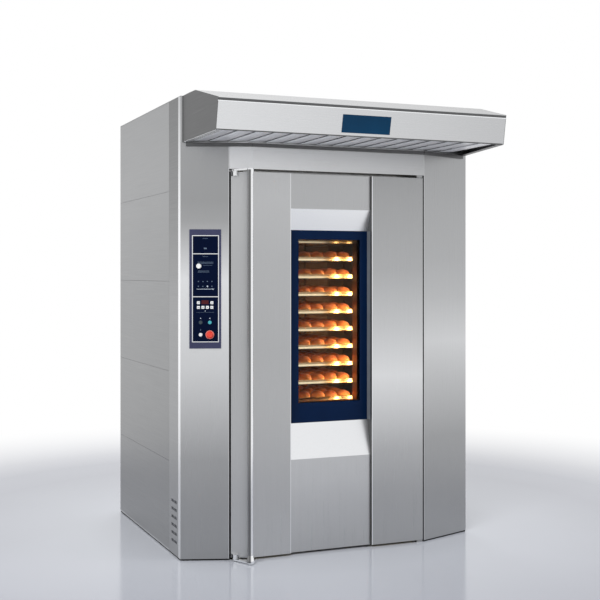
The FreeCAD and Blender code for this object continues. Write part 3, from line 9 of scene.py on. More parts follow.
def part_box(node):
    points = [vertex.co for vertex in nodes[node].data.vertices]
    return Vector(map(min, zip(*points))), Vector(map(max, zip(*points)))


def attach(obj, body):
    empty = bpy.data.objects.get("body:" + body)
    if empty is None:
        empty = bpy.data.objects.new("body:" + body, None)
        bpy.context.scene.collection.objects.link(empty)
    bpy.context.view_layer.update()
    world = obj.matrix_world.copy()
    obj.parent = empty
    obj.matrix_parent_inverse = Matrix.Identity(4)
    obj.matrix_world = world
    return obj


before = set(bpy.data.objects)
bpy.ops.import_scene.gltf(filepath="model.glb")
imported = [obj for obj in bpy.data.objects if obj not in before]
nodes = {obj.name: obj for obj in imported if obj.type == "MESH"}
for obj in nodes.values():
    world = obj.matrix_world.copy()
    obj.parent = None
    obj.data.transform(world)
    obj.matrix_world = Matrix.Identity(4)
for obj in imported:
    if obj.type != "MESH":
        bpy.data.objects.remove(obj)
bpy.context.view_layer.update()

# %% [markdown]
# ## Camera
#
# The picture is taken a little below eye height, from the left of the door, with a long lens.
# The camera is level, so the uprights stay upright, and its frame is shifted down to take in the
# floor. That is how an architect's camera does it. Tilting the camera instead would make the
# sides lean together. The view is Standard, so a colour comes out as it is written.
# %% Camera at the picture's viewing angle
EYE = Vector((-2.351, -5.860, 1.418))
YAW = math.radians(22.79)
LENS, SENSOR_WIDTH = 66.75, 36
FRAME_SHIFT, FAR_CLIP = -0.0432, 200
bpy.ops.object.camera_add(location=EYE, rotation=(math.radians(90), 0, -YAW))
camera = bpy.context.object
camera.name = "camera"
camera.data.lens = LENS
camera.data.sensor_width = SENSOR_WIDTH
camera.data.shift_y = FRAME_SHIFT
camera.data.clip_end = FAR_CLIP
bpy.context.scene.camera = camera
bpy.context.scene.view_settings.view_transform = "Standard"
print("Camera", round((EYE - Vector((0, 0, 1))).length, 2), "m from the rack's axis")

# %% [markdown]
# ## Shader helpers
#
# Every finish is a Principled shader with a few texture nodes. Each texture reads Object
# coordinates, which here are metres in the oven's own frame, so a brushing line has a real size
# and a painted highlight stays on its sheet when the door swings. Greys are written as the 0 to
# 255 number that a picture shows, and `grey` turns them into the linear values that a shader needs.
# %% Greys and the start of a finish


def linear(level):
    share = level / 255
    return share / 12.92 if share <= 0.04045 else ((share + 0.055) / 1.055) ** 2.4


def grey(level, cool=0.012):
    """A grey of one picture level, with the slightly cold cast of stainless steel."""
    value = linear(level)
    return (value * (1 - cool), value, value * (1 + 1.6 * cool))


def shade_of(colour, share):
    return tuple(c * share for c in colour)


def start_finish(name, colour, metallic=0.0, roughness=0.5):
    """A Principled material with its node tree, ready for textures."""
    finish = bpy.data.materials.new(name)
    finish.use_nodes = True
    shader = finish.node_tree.nodes["Principled BSDF"]
    shader.inputs["Base Color"].default_value = (*colour, 1)
    shader.inputs["Metallic"].default_value = metallic
    shader.inputs["Roughness"].default_value = roughness
    finish.diffuse_color = (*colour, 1)
    return finish, finish.node_tree, shader


# %% Texture helpers
def coordinates(tree):
    """Sockets for the place X, Y, Z in metres and for the facing NX, NY, NZ of a surface."""
    place = tree.nodes.new("ShaderNodeTexCoord")
    sockets = {}
    for output, prefix in (("Object", ""), ("Normal", "N")):
        parts = tree.nodes.new("ShaderNodeSeparateXYZ")
        tree.links.new(place.outputs[output], parts.inputs["Vector"])
        sockets.update({prefix + axis: parts.outputs[axis] for axis in "XYZ"})
    return sockets


def noise(tree, waves, detail=3.0):
    """A noise factor; waves is how many per metre along X, Y and Z."""
    place = tree.nodes.new("ShaderNodeTexCoord")
    mapping = tree.nodes.new("ShaderNodeMapping")
    mapping.inputs["Scale"].default_value = waves
    grain = tree.nodes.new("ShaderNodeTexNoise")
    grain.inputs["Scale"].default_value = 1
    grain.inputs["Detail"].default_value = detail
    tree.links.new(place.outputs["Object"], mapping.inputs["Vector"])
    tree.links.new(mapping.outputs["Vector"], grain.inputs["Vector"])
    return grain.outputs["Fac"]


def spread(tree, factor, low, high, start=0.3, end=0.7):
    """Turns a factor into a value between low and high."""
    ranged = tree.nodes.new("ShaderNodeMapRange")
    for name, number in (("From Min", start), ("From Max", end), ("To Min", low), ("To Max", high)):
        ranged.inputs[name].default_value = number
    tree.links.new(factor, ranged.inputs["Value"])
    return ranged.outputs["Result"]


def mix_colours(tree, factor, first, second, blend="MIX"):
    """first and second are colours or sockets; factor is a socket or a number."""
    mixed = tree.nodes.new("ShaderNodeMix")
    mixed.data_type = "RGBA"
    mixed.blend_type = blend
    inputs = [s for s in mixed.inputs if s.type == "RGBA"]
    if isinstance(factor, bpy.types.NodeSocket):
        tree.links.new(factor, mixed.inputs["Factor"])
    else:
        mixed.inputs["Factor"].default_value = factor
    for socket, colour in zip(inputs, (first, second)):
        if isinstance(colour, bpy.types.NodeSocket):
            tree.links.new(colour, socket)
        else:
            socket.default_value = (*colour, 1)
    return [s for s in mixed.outputs if s.type == "RGBA"][0]


def calculate(tree, operation, *values):
    """One Math node on sockets and numbers."""
    node = tree.nodes.new("ShaderNodeMath")
    node.operation = operation
    for socket, number in zip(node.inputs, values):
        if isinstance(number, bpy.types.NodeSocket):
            tree.links.new(number, socket)
        else:
            socket.default_value = number
    return node.outputs["Value"]


def within(tree, value, low, high):
    """1 where the value lies between low and high, otherwise 0."""
    return calculate(tree, "COMPARE", value, (low + high) / 2, (high - low) / 2)


def graded(tree, value, stops):
    """A colour that runs through stops of (value, picture level or colour)."""
    low, high = stops[0][0], stops[-1][0]
    ramp = tree.nodes.new("ShaderNodeValToRGB")
    tree.links.new(spread(tree, value, 0, 1, low, high), ramp.inputs["Fac"])
    elements = ramp.color_ramp.elements
    while len(elements) < len(stops):
        elements.new(0.5)
    for element, (place, _) in zip(elements, stops):
        element.position = (place - low) / (high - low)
    for element, (_, level) in zip(elements, stops):
        element.color = (*(level if isinstance(level, tuple) else grey(level)), 1)
    return ramp.outputs["Color"]


def roughen(tree, shader, height, strength, distance):
    """A bump from a factor, on the shader's normal."""
    bump = tree.nodes.new("ShaderNodeBump")
    bump.inputs["Strength"].default_value = strength
    bump.inputs["Distance"].default_value = distance
    tree.links.new(height, bump.inputs["Height"])
    tree.links.new(bump.outputs["Normal"], shader.inputs["Normal"])


# %% [markdown]
# ## Brushed steel
#
# Nearly all of the oven is stainless sheet. What tells it from grey paint is its grain: fine
# brushing lines along one direction, and a broad soft sheen across them. The grain is a noise
# that is stretched hundreds of times more one way than the other, and it moves the colour, the
# roughness and a very small bump. The polished sheets also carry slow light and dark fields,
# which are painted reflections of the studio and painted shade. Those are graded along one axis,
# and a sheet's folded edges and returns get their own level by where they are or by which way
# they face: a painted highlight on a fold, painted shade on a return or in a gap.
# %% Sheet steel
ALONG = {"x": (3, 700, 700), "y": (700, 3, 700), "z": (700, 700, 3)}
WIDE_ALONG = {"x": (0.5, 22, 22), "y": (22, 0.5, 22), "z": (22, 22, 0.5)}


def sheet_steel(name, stops, axis="Z", grain="z", roughness=0.32, contrast=0.045, metallic=1.0,
                zones=()):
    """Brushed sheet with painted light and shade. A zone is (axis, low, high, stops along `axis` or
    one level), painted as a highlight or a shade.
    """
    finish, tree, shader = start_finish(name, grey(170), metallic, roughness)
    at = coordinates(tree)
    # The stops paint light and shade: fields of painted reflection and painted shade along the
    # axis.
    colour = graded(tree, at[axis], stops)
    # Each zone paints a highlight or a shade on a band, or on the faces that look one way.
    for zone_axis, low, high, levels in zones:
        inside = within(tree, at[zone_axis], low, high)
        other = graded(tree, at[axis], levels) if isinstance(levels, list) else grey(levels)
        colour = mix_colours(tree, inside, colour, other)
    lines = noise(tree, ALONG[grain], detail=4)
    bands = noise(tree, WIDE_ALONG[grain], detail=2)
    cloud = noise(tree, (1.3, 1.3, 1.1), detail=2)
    white, dark = (1, 1, 1), (1 - contrast,) * 3
    light = (1 + contrast,) * 3
    fine = mix_colours(tree, spread(tree, lines, 0, 1), dark, light)
    wide = mix_colours(tree, spread(tree, bands, 0, 0.5), fine, white)
    mottled = mix_colours(tree, spread(tree, cloud, 0, 0.4, 0.4, 0.62), wide, dark)
    tree.links.new(mix_colours(tree, 1.0, colour, mottled, "MULTIPLY"),
                   shader.inputs["Base Color"])
    tree.links.new(spread(tree, lines, roughness - 0.05, roughness + 0.07),
                   shader.inputs["Roughness"])
    roughen(tree, shader, lines, 0.05, 0.0004)
    return finish


def repeated_shade(finish, axis, start, pitch, part, shade):
    """Paints shade on one part of every pitch along an axis; a part of None paints it as a slope.
    """
    tree = finish.node_tree
    tint = tree.nodes["Principled BSDF"].inputs["Base Color"]
    colour = tint.links[0].from_socket
    steps = calculate(tree, "DIVIDE", calculate(tree, "SUBTRACT", coordinates(tree)[axis], start),
                      pitch)
    share = calculate(tree, "FRACT", steps)
    if part:
        share = within(tree, share, *part)
    tree.links.new(mix_colours(tree, share, colour, shade, "MULTIPLY"), tint)


def plain_steel(name, level, **more):
    """Sheet steel of one level, which still has its grain and mottle."""
    return sheet_steel(name, [(0.0, level), (2.4, level)], **more)


# %% [markdown]
# ### The cabinet's sheets
#
# The side is cooler and painted darker towards its foot, as shade where it would mirror the floor,
# and has a thin painted highlight along its kick edge. Its front strip is one folded piece, painted
# darker at the top as shade under the canopy. The corner is folded once more and carries a painted
# highlight from top to bottom. Each wing and each door leaf has its own painted field of light at
# the height where it would mirror the studio. The leaves' folds carry painted highlights and the
# gaps and returns painted shade, the header is painted lighter at its left end, and the window's
# reveals are painted near white, as highlights.
# %% Steels of the cabinet and door
# Painted light and shade: darker towards the foot, a painted highlight on the kick edge, and the
# front strip painted darker at the top.
side_steel = sheet_steel(
    "side_steel", [(0.0, 206), (0.0138, 206), (0.0146, 150), (0.55, 144), (1.27, 153), (1.95, 162),
                   (2.3, 157)], grain="y", roughness=0.36,
    zones=[("Y", -0.53, -0.361, [(0.0, 160), (0.6, 158), (1.27, 160), (1.8, 134), (2.3, 114)])])
back_steel = sheet_steel("back_steel", [(0.0, 150), (1.2, 156), (2.4, 160)], grain="x",
                         roughness=0.38)
# Painted light and shade: a painted reflection field at mid height on each wing, painted highlights
# on the folds and the corner band, and painted shade on the faces of the gaps.
wing_steel = sheet_steel(
    "wing_steel", [(0.0, 160), (0.5, 164), (0.95, 207), (1.39, 226), (1.68, 167), (1.78, 160),
                   (2.3, 168)],
    zones=[("X", 0.3, 1.0, [(0.0, 168), (0.55, 165), (0.85, 190), (1.06, 208), (1.3, 186),
                            (1.5, 176), (2.3, 160)]),
           ("X", -0.5426, -0.5400, 206), ("X", 0.5380, 0.5406, 214),
           ("NX", 0.95, 1.05, 40), ("NX", -1.05, -0.95, 40),
           ("Y", -0.5602, -0.5, [(0.0, 216), (0.6, 238), (1.1, 255), (1.7, 250), (2.3, 196)])])
# Painted light: lighter at the left end and darker towards the right.
header_steel = sheet_steel("header_steel", [(-0.54, 222), (0.0, 203), (0.54, 186)], axis="X",
                           grain="x")
# Painted light and shade: the tone up the leaf, a painted shadow of the door gap at its left edge
# and a painted highlight on its right fold.
left_leaf_steel = sheet_steel(
    "left_leaf_steel", [(0.0, 188), (0.3, 184), (1.04, 177), (1.5, 182), (1.8, 190), (2.0, 190)],
    zones=[("X", -0.6, -0.531, 38), ("X", -0.2270, -0.2, 240)])
# Painted light and shade: a painted reflection field at mid height, a painted highlight on the left
# fold and painted shade on the return facing left.
right_leaf_steel = sheet_steel(
    "right_leaf_steel", [(0.0, 172), (0.3, 176), (0.5, 183), (0.89, 221), (1.15, 198), (1.44, 175),
                         (1.95, 161)],
    zones=[("X", 0.2300, 0.2342, 240), ("NX", -1.05, -0.9, 80)])
# Painted light: the tone up the sheet, and the window's reveals painted near white, as highlights,
# where they face up or down.
centre_steel = sheet_steel(
    "centre_steel", [(0.0, 180), (0.2, 190), (0.36, 198), (0.5, 198), (1.7, 178), (2.0, 184)],
    zones=[("NZ", 0.2, 1.05, 236), ("NZ", -1.05, -0.2, 255)])
print("Steels of the cabinet and door:", len(bpy.data.materials))

# %% [markdown]
# ### The canopy's and the inner steels
#
# The canopy is made of bright cold-rolled sheet that runs along X. It is painted lighter at its
# left end and darker to the right, and its top a little darker than its front. Its ends are painted
# dark grey, as shade. Inside the hot chamber the steel has taken the straw tint of baking heat, a
# little darker towards the top, and the lamp box beside the window carries a painted warm glow,
# brightest at its foot. Polished parts are the handle, its arms and the trims. The round handle
# bar carries a painted reflection, dark on its left side where it would mirror the door gap. The
# filter slats each carry painted shade from light to dark, and a tray's rim carries a painted
# highlight below the painted shade of its wall; the trays are also painted lighter lower down.
# %% Steels of the canopy, the chamber and the bright parts
# Painted light: lighter at the left end, darker to the right, and the top painted darker than the
# front.
hood_steel = sheet_steel("hood_steel", [(-0.76, 224), (0.0, 210), (0.86, 194)], axis="X",
                         grain="x", contrast=0.02, roughness=0.28,
                         zones=[("NZ", 0.3, 1.05, [(-0.76, 206), (0.86, 166)])])
# Painted shade: the canopy's ends are dark grey, standing in for the shade that they are in.
cheek_shade_steel = plain_steel("cheek_shade_steel", 100, grain="y", roughness=0.42)
# Painted light: a little lighter at the left end. The painted shade across each slat is added
# below.
filter_steel = sheet_steel("filter_steel", [(-0.76, 255), (0.1, 250), (0.86, 244)], axis="X",
                           grain="y", roughness=0.34, contrast=0.04, metallic=0.3)
bright_steel = plain_steel("bright_steel", 232, roughness=0.13, contrast=0.02)
# Painted reflection: darker on the faces that look left, where the bar would mirror the door gap,
# and bright on the others.
bar_reflection_steel = sheet_steel("bar_reflection_steel", [(-1.0, 150), (-0.62, 100), (-0.34, 112), (-0.12, 240),
                                      (1.0, 244)], axis="NX", roughness=0.12, contrast=0.02)
# Painted shade: a dark steel for strips that stand in for shade, in the canopy's fold, lip, right
# flange and gutter.
shade_steel = plain_steel("shade_steel", 100, grain="x", roughness=0.4)
# Painted highlight: a bright steel for strips that stand in for highlights, on the canopy's nose
# and left flange.
highlight_steel = plain_steel("highlight_steel", 250, grain="x", roughness=0.25, contrast=0.02)
dull_steel = plain_steel("dull_steel", 166, grain="x", roughness=0.45, contrast=0.08)
# Painted shade: the base frame is near black, standing in for the shadow under the oven.
plinth_shadow_steel = plain_steel("plinth_shadow_steel", 28, roughness=0.6, metallic=0.4)
STRAW, LAMPLIT_STRAW = (0.20, 0.14, 0.10), (0.62, 0.30, 0.11)
liner_steel = sheet_steel("liner_steel", [(0.0, STRAW), (2.4, shade_of(STRAW, 0.8))],
                          roughness=0.34, contrast=0.10)
# Painted light: a warm glow of the door lamps, brightest at the foot and darker towards the top.
lamp_box_steel = sheet_steel("lamp_box_steel", [(0.7, LAMPLIT_STRAW), (1.6, shade_of(STRAW, 0.8))],
                             roughness=0.3, contrast=0.05)
# Painted light: lighter and warmer lower down, standing in for the brighter lamp light there.
tray_steel = sheet_steel("tray_steel", [(0.0, (0.92, 0.78, 0.55)), (2.0, (0.84, 0.66, 0.44))],
                         grain="x", roughness=0.17, contrast=0.05)
SLAT_PITCH, SLATS_LEFT = 0.092, -0.736
# Painted shade: every slat runs from light to dark, as a tilted slat would be lit.
repeated_shade(filter_steel, "X", SLATS_LEFT, SLAT_PITCH, None, (0.72, 0.70, 0.70))
TRAY_FLOOR, TRAY_PITCH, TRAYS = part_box("baking_trays")[0].z, 0.094, 18
# Painted highlight and shade: the lowest part of every tray stays bright, and the band above it is
# painted darker.
repeated_shade(tray_steel, "Z", TRAY_FLOOR, TRAY_PITCH, (0.105, 0.25), (0.42, 0.34, 0.28))
print("All steels:", len(bpy.data.materials))

# %% [markdown]
# ## Paint, plastic, rubber, wool and glass
#
# The other finishes are simpler. Paint and moulded plastic have a slight orange-peel bump and
# a soft clean gloss. Galvanised sheet shows its zinc crystals as small cells. Mineral wool is
# fibrous and never shines. The toughened glass is thin and clear, so it gets a low index of
# refraction: the chamber behind it matters more than what it mirrors.
# %% Paint and plastic


def moulded(name, colour, roughness=0.35, grain=400.0, bump=0.04, metallic=0.0, gloss=0.5):
    finish, tree, shader = start_finish(name, colour, metallic, roughness)
    shader.inputs["Specular IOR Level"].default_value = gloss
    pores = noise(tree, (grain, grain, grain), detail=2)
    cloud = noise(tree, (9, 9, 9), detail=2)
    tree.links.new(mix_colours(tree, spread(tree, cloud, 0, 1), shade_of(colour, 0.92),
                               shade_of(colour, 1.06)), shader.inputs["Base Color"])
    tree.links.new(spread(tree, pores, roughness - 0.05, roughness + 0.06),
                   shader.inputs["Roughness"])
    roughen(tree, shader, pores, bump, 0.0005)
    return finish


def picture_colour(red, green, blue):
    return (linear(red), linear(green), linear(blue))


navy_paint = moulded("navy_paint", picture_colour(2, 27, 60), 0.34, 300, 0.02, gloss=0.08)
plate_paint = moulded("plate_paint", picture_colour(10, 54, 84), 0.34, 300, 0.02, gloss=0.1)
bezel_plastic = moulded("bezel_plastic", picture_colour(62, 64, 90), 0.5, 500, gloss=0.15)
module_face = moulded("module_face", picture_colour(1, 12, 40), 0.34, 300, 0.02, gloss=0.05)
faint_print = moulded("faint_print", picture_colour(96, 112, 132), 0.5, gloss=0.2)
clear_print = moulded("clear_print", picture_colour(196, 206, 218), 0.5, gloss=0.2)
display_face = moulded("display_face", picture_colour(74, 14, 22), 0.2, 300, 0.01, gloss=0.2)
vent_shade_mesh = moulded("vent_shade_mesh", picture_colour(104, 106, 110), 0.6, 900, 0.6, gloss=0.3)
motor_paint = moulded("motor_paint", (0.05, 0.075, 0.11), 0.36, 260, 0.06)
wheel_polymer = moulded("wheel_polymer", (0.035, 0.027, 0.022), 0.55, 350, 0.08)
seal_rubber = moulded("seal_rubber", (0.03, 0.03, 0.032), 0.62, 500, 0.08)
white_plastic = moulded("white_plastic", (0.84, 0.84, 0.82), 0.3)
grey_plastic = moulded("grey_plastic", picture_colour(58, 68, 74), 0.4, gloss=0.3)
teal_plastic = moulded("teal_plastic", picture_colour(70, 172, 180), 0.3)
red_plastic = moulded("red_plastic", picture_colour(226, 62, 44), 0.25)
rose_plastic = moulded("rose_plastic", picture_colour(240, 140, 128), 0.35)
mineral_wool = moulded("mineral_wool", (0.56, 0.46, 0.22), 0.95, 900, 0.9)

# %% Zinc and glass


def zinc_sheet(name, colour):
    finish, tree, shader = start_finish(name, colour, 0.85, 0.42)
    place = tree.nodes.new("ShaderNodeTexCoord")
    cells = tree.nodes.new("ShaderNodeTexVoronoi")
    cells.inputs["Scale"].default_value = 60
    tree.links.new(place.outputs["Object"], cells.inputs["Vector"])
    tone = tree.nodes.new("ShaderNodeSeparateColor")
    tree.links.new(cells.outputs["Color"], tone.inputs["Color"])
    tree.links.new(mix_colours(tree, tone.outputs["Red"], shade_of(colour, 0.86),
                               shade_of(colour, 1.1)), shader.inputs["Base Color"])
    tree.links.new(spread(tree, tone.outputs["Green"], 0.36, 0.52, 0, 1),
                   shader.inputs["Roughness"])
    return finish


def clear_glass(name):
    finish, tree, shader = start_finish(name, (0.98, 0.99, 0.98), 0, 0.0)
    shader.inputs["Transmission Weight"].default_value = 1
    shader.inputs["IOR"].default_value = 1.12
    film = noise(tree, (14, 14, 5), detail=3)
    tree.links.new(spread(tree, film, 0.0, 0.015, 0.45, 0.75), shader.inputs["Roughness"])
    return finish


def lit_tube(name, colour, strength):
    """Frosted lamp glass that glows, a little unevenly because of the frost."""
    finish, tree, shader = start_finish(name, colour, 0, 0.4)
    frost = noise(tree, (120, 120, 20), detail=2)
    tree.links.new(mix_colours(tree, spread(tree, frost, 0, 1), shade_of(colour, 0.85), colour),
                   shader.inputs["Emission Color"])
    shader.inputs["Emission Strength"].default_value = strength
    return finish


zinc = zinc_sheet("zinc", (0.52, 0.54, 0.56))
window_glass = clear_glass("window_glass")
tube_glass = lit_tube("tube_glass", (1.0, 0.72, 0.34), 5.0)
print("All finishes made:", len(bpy.data.materials))

# %% [markdown]
# ## Dress the frame
#
# A node of the frame takes its finish by name. The list follows the real oven: polished parts
# are the handle, its arms, the door's fittings and the latch keepers; most steel inside the
# hot chamber has the straw tint that steel takes at baking heat.
# %% Give every node its finish
FINISHES = [
    (side_steel, ["side_panels"]),
    (back_steel, ["rear_panel", "roof_panel"]),
    (wing_steel, ["wing_panels"]),
    (header_steel, ["header_panel", "front_frame"]),
    (left_leaf_steel, ["door_panel_left"]),
    (right_leaf_steel, ["door_panel_right"]),
    (centre_steel, ["door_centre_panels"]),
    (hood_steel, ["hood_shell"]),
    (cheek_shade_steel, ["hood_ends"]),
    (filter_steel, ["hood_filters"]),
    (bar_reflection_steel, ["handle_bar"]),
    (bright_steel, ["handle_arms", "door_fittings", "latch_keepers"]),
    (plinth_shadow_steel, ["base_frame"]),
    (dull_steel, ["floor_pan", "turntable", "drive_fork", "hinge_brackets"]),
    (liner_steel, ["chamber_liner", "ceiling_liner", "air_duct", "door_liner", "steam_generator",
                   "heater_bank", "fan_impeller", "rack_frame", "tray_runners"]),
    (lamp_box_steel, ["lamp_housing"]),
    (tray_steel, ["baking_trays"]),
    (zinc, ["flue_pipe", "hood_fan_housing", "hood_fan_impeller", "damper_flap", "caster_mounts",
            "swivel_fork_left", "swivel_fork_right", "water_pipe", "electrics_box"]),
    (motor_paint, ["rack_gearmotor", "fan_motor", "damper_actuator"]),
    (navy_paint, ["window_frame"]),
    (bezel_plastic, ["control_panel"]),
    (mineral_wool, ["insulation", "door_core"]),
    (seal_rubber, ["door_seal"]),
    (wheel_polymer, ["wheel_front_left", "wheel_front_right", "wheel_rear_left",
                     "wheel_rear_right"]),
    (window_glass, ["window_glasses"]),
    (tube_glass, ["door_lamps"]),
    (white_plastic, ["lamp_button", "selector_knob"]),
    (grey_plastic, ["start_button"]),
    (teal_plastic, ["steam_button"]),
    (red_plastic, ["stop_button"]),
]
dressed = set()
for finish, names in FINISHES:
    for name in names:
        nodes[name].data.materials.clear()
        nodes[name].data.materials.append(finish)
        dressed.add(name)
print("Nodes without a finish:", sorted(set(nodes) - dressed))

# %% [markdown]
# ## Modelling helpers
#
# New pieces start as a primitive at their size and place. They are shaped in edit mode, and
# their edges are bevelled, because no real edge is a perfect line. Pieces on the tilted facet
# beside the door are made flat, as on a bench, and then turned into place once.
# %% Modelling helpers


def deselect():
    if bpy.context.mode != "OBJECT":
        bpy.ops.object.mode_set(mode="OBJECT")
    bpy.ops.object.select_all(action="DESELECT")


def pick(piece):
    """Makes the piece the only selected and the active one."""
    deselect()
    piece.select_set(True)
    bpy.context.view_layer.objects.active = piece


def settle(piece):
    """Puts the piece's place, turn and size into its mesh."""
    pick(piece)
    bpy.ops.object.transform_apply(location=True, rotation=True, scale=True)
    return piece


def block(name, low, high):
    """A box between two corners, ready for shaping."""
    deselect()
    middle = [(a + b) / 2 for a, b in zip(low, high)]
    bpy.ops.mesh.primitive_cube_add(size=1, location=middle)
    piece = bpy.context.object
    piece.name = piece.data.name = name
    piece.scale = [b - a for a, b in zip(low, high)]
    return settle(piece)


def rod(name, start, end, radius, sides=24):
    """A round or many-sided bar between two points, ready for shaping."""
    deselect()
    start, end = Vector(start), Vector(end)
    turn = (end - start).to_track_quat("Z", "Y").to_euler()
    bpy.ops.mesh.primitive_cylinder_add(vertices=sides, radius=radius, rotation=turn,
                                        depth=(end - start).length, location=(start + end) / 2)
    piece = bpy.context.object
    piece.name = piece.data.name = name
    return settle(piece)


def edit_faces(piece, wanted):
    """Goes into edit mode with just the faces selected whose normal and middle suit."""
    pick(piece)
    bpy.ops.object.mode_set(mode="EDIT")
    bpy.ops.mesh.select_mode(type="FACE")
    bpy.ops.mesh.select_all(action="DESELECT")
    net = bmesh.from_edit_mesh(piece.data)
    for face in net.faces:
        face.select_set(bool(wanted(face.normal, face.calc_center_median())))
    bmesh.update_edit_mesh(piece.data)


def leave_edit():
    bpy.ops.object.mode_set(mode="OBJECT")


def soften(piece, width, segments=2):
    """Bevels the sharp edges and smooths the rest."""
    pick(piece)
    bevel = piece.modifiers.new("bevel", "BEVEL")
    bevel.width = width
    bevel.segments = segments
    bevel.limit_method = "ANGLE"
    bpy.ops.object.modifier_apply(modifier="bevel")
    bpy.ops.object.shade_smooth_by_angle(angle=math.radians(35))
    return piece


def recess_face(piece, wanted, margin, depth):
    """Insets the wanted face by a margin and pushes it in (or out, with a negative depth)."""
    edit_faces(piece, wanted)
    bpy.ops.mesh.inset(thickness=margin)
    net = bmesh.from_edit_mesh(piece.data)
    facing = next(face.normal.copy() for face in net.faces if face.select)
    bpy.ops.mesh.extrude_region_move(TRANSFORM_OT_translate={"value": -depth * facing})
    leave_edit()
    return piece


def join_all(pieces, name):
    """Makes one piece of several."""
    deselect()
    for piece in pieces:
        piece.select_set(True)
    bpy.context.view_layer.objects.active = pieces[0]
    if len(pieces) > 1:
        bpy.ops.object.join()
    pieces[0].name = pieces[0].data.name = name
    return pieces[0]


def copy_of(piece, move):
    """A copy with its own mesh, moved in its mesh."""
    twin = piece.copy()
    twin.data = piece.data.copy()
    bpy.context.collection.objects.link(twin)
    twin.data.transform(Matrix.Translation(move))
    return twin


def finish_piece(piece, finish, body):
    piece.data.materials.clear()
    piece.data.materials.append(finish)
    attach(piece, body)
    return piece


# %% [markdown]
# ## The canopy's trim
#
# The canopy's front is one sloping sheet under a folded cap. From the front the fold shows as a
# thin strip of painted shade under the cap's edge, with a painted highlight on the nose below it,
# and the fascia's foot turns in with a lip in painted shade. Each end sheet turns in below as a
# flange, the left one a painted highlight and the right one painted shade, and a narrow gutter in
# painted shade along the wall catches what drips from the filters. Below the filters lie slats,
# each one tilted a little. Their steel carries painted shade from light to dark across every
# slat, because so small a tilt hardly shows. A plain plate with rounded edges sits in the middle
# of the fascia.
# The strips are made lying on a level bench and tilted once, so their sizes are the ones that a
# tape would read on the sheet.
# %% Canopy trim on the fascia
hood_low, hood_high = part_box("hood_shell")
TOP_Y, TOP_Z = hood_low.y, 2.215
FOOT_Y, FOOT_Z = -1.085, hood_low.z
slope = math.atan2(FOOT_Y - TOP_Y, TOP_Z - FOOT_Z)
fascia_length = math.hypot(FOOT_Y - TOP_Y, TOP_Z - FOOT_Z)
HOOD_LEFT, HOOD_RIGHT = -0.757, 0.763
TRIM_PROUD = TRIM_SUNK = 0.0005
# Below the fascia's top: the cap's edge, the fold and the nose. Above its foot: the lip.
CAP_EDGE, CAP_FOLD, NOSE_FOOT, LIP_TOP = 0.0028, 0.0145, 0.0185, 0.0055


def place_on_fascia(piece):
    """Moves a piece made on the plane Y = 0, with Z up from the fascia's foot, onto the fascia."""
    piece.matrix_world = (Matrix.Translation((0, FOOT_Y, FOOT_Z))
                          @ Matrix.Rotation(slope, 4, "X"))
    return settle(piece)


def fascia_strip(name, low_z, high_z, finish):
    strip = block(name, (HOOD_LEFT, -TRIM_PROUD, low_z), (HOOD_RIGHT, TRIM_SUNK, high_z))
    soften(strip, 0.0002, 1)
    return finish_piece(place_on_fascia(strip), finish, "cabinet")


# Painted shade under the cap's edge, a painted highlight on the nose, and painted shade on the foot
# lip.
fascia_strip("canopy_cap_line", fascia_length - CAP_FOLD, fascia_length - CAP_EDGE, shade_steel)
fascia_strip("canopy_nose_line", fascia_length - NOSE_FOOT, fascia_length - CAP_FOLD, highlight_steel)
fascia_strip("canopy_foot_lip", 0.0, LIP_TOP, shade_steel)

PLATE_LEFT, PLATE_RIGHT, PLATE_LOW, PLATE_HIGH, PLATE_PROUD = -0.134, 0.121, 0.018, 0.104, 0.0020
plate = block("canopy_plate", (PLATE_LEFT, -PLATE_PROUD, PLATE_LOW),
              (PLATE_RIGHT, TRIM_SUNK, PLATE_HIGH))
recess_face(plate, lambda normal, middle: normal.y < -0.9, 0.0022, 0.0006)
soften(plate, 0.0006)
finish_piece(place_on_fascia(plate), plate_paint, "cabinet")
print("Canopy plate", [round(v, 3) for v in plate.dimensions])

# %% Flanges under the canopy's ends and the gutter behind its filters
END_WALL, SPLAY_SHARE = 0.0022, 0.93
END_SPLAY = hood_high.x - HOOD_RIGHT + END_WALL
FLANGE_FRONT, FLANGE_REAR, FLANGE_LOW, FLANGE_HIGH = -1.0835, -0.5800, 2.0690, 2.0712
LEFT_FLANGE, RIGHT_FLANGE = 0.034, 0.030


def end_flange(name, left, right, splay, finish):
    """A thin strip under one end sheet; its rear end moves sideways by the splay."""
    strip = block(name, (left, FLANGE_FRONT, FLANGE_LOW), (right, FLANGE_REAR, FLANGE_HIGH))
    edit_faces(strip, lambda normal, middle: normal.y > 0.9)
    bpy.ops.transform.translate(value=(splay, 0, 0))
    leave_edit()
    soften(strip, 0.0005, 1)
    return finish_piece(strip, finish, "cabinet")


# The left flange is a painted highlight, the right one painted shade.
end_flange("canopy_left_flange", HOOD_LEFT, HOOD_LEFT + LEFT_FLANGE, 0, highlight_steel)
end_flange("canopy_right_flange", HOOD_RIGHT - RIGHT_FLANGE, HOOD_RIGHT, END_SPLAY * SPLAY_SHARE,
           shade_steel)


WALL_LINE = [(-0.742, -0.5755), (-0.434, -0.6875), (0.531, -0.6875), (0.835, -0.5775)]
GUTTER_LOW, GUTTER_HIGH, GUTTER_HALF = 2.050, 2.067, 0.006
bars = []
for start, end in zip(WALL_LINE, WALL_LINE[1:]):
    bar = block("bar", (0, -GUTTER_HALF, 0),
                (math.dist(start, end), GUTTER_HALF, GUTTER_HIGH - GUTTER_LOW))
    heading = math.atan2(end[1] - start[1], end[0] - start[0])
    bar.matrix_world = (Matrix.Translation((*start, GUTTER_LOW))
                        @ Matrix.Rotation(heading, 4, "Z"))
    bars.append(soften(settle(bar), 0.0008, 1))
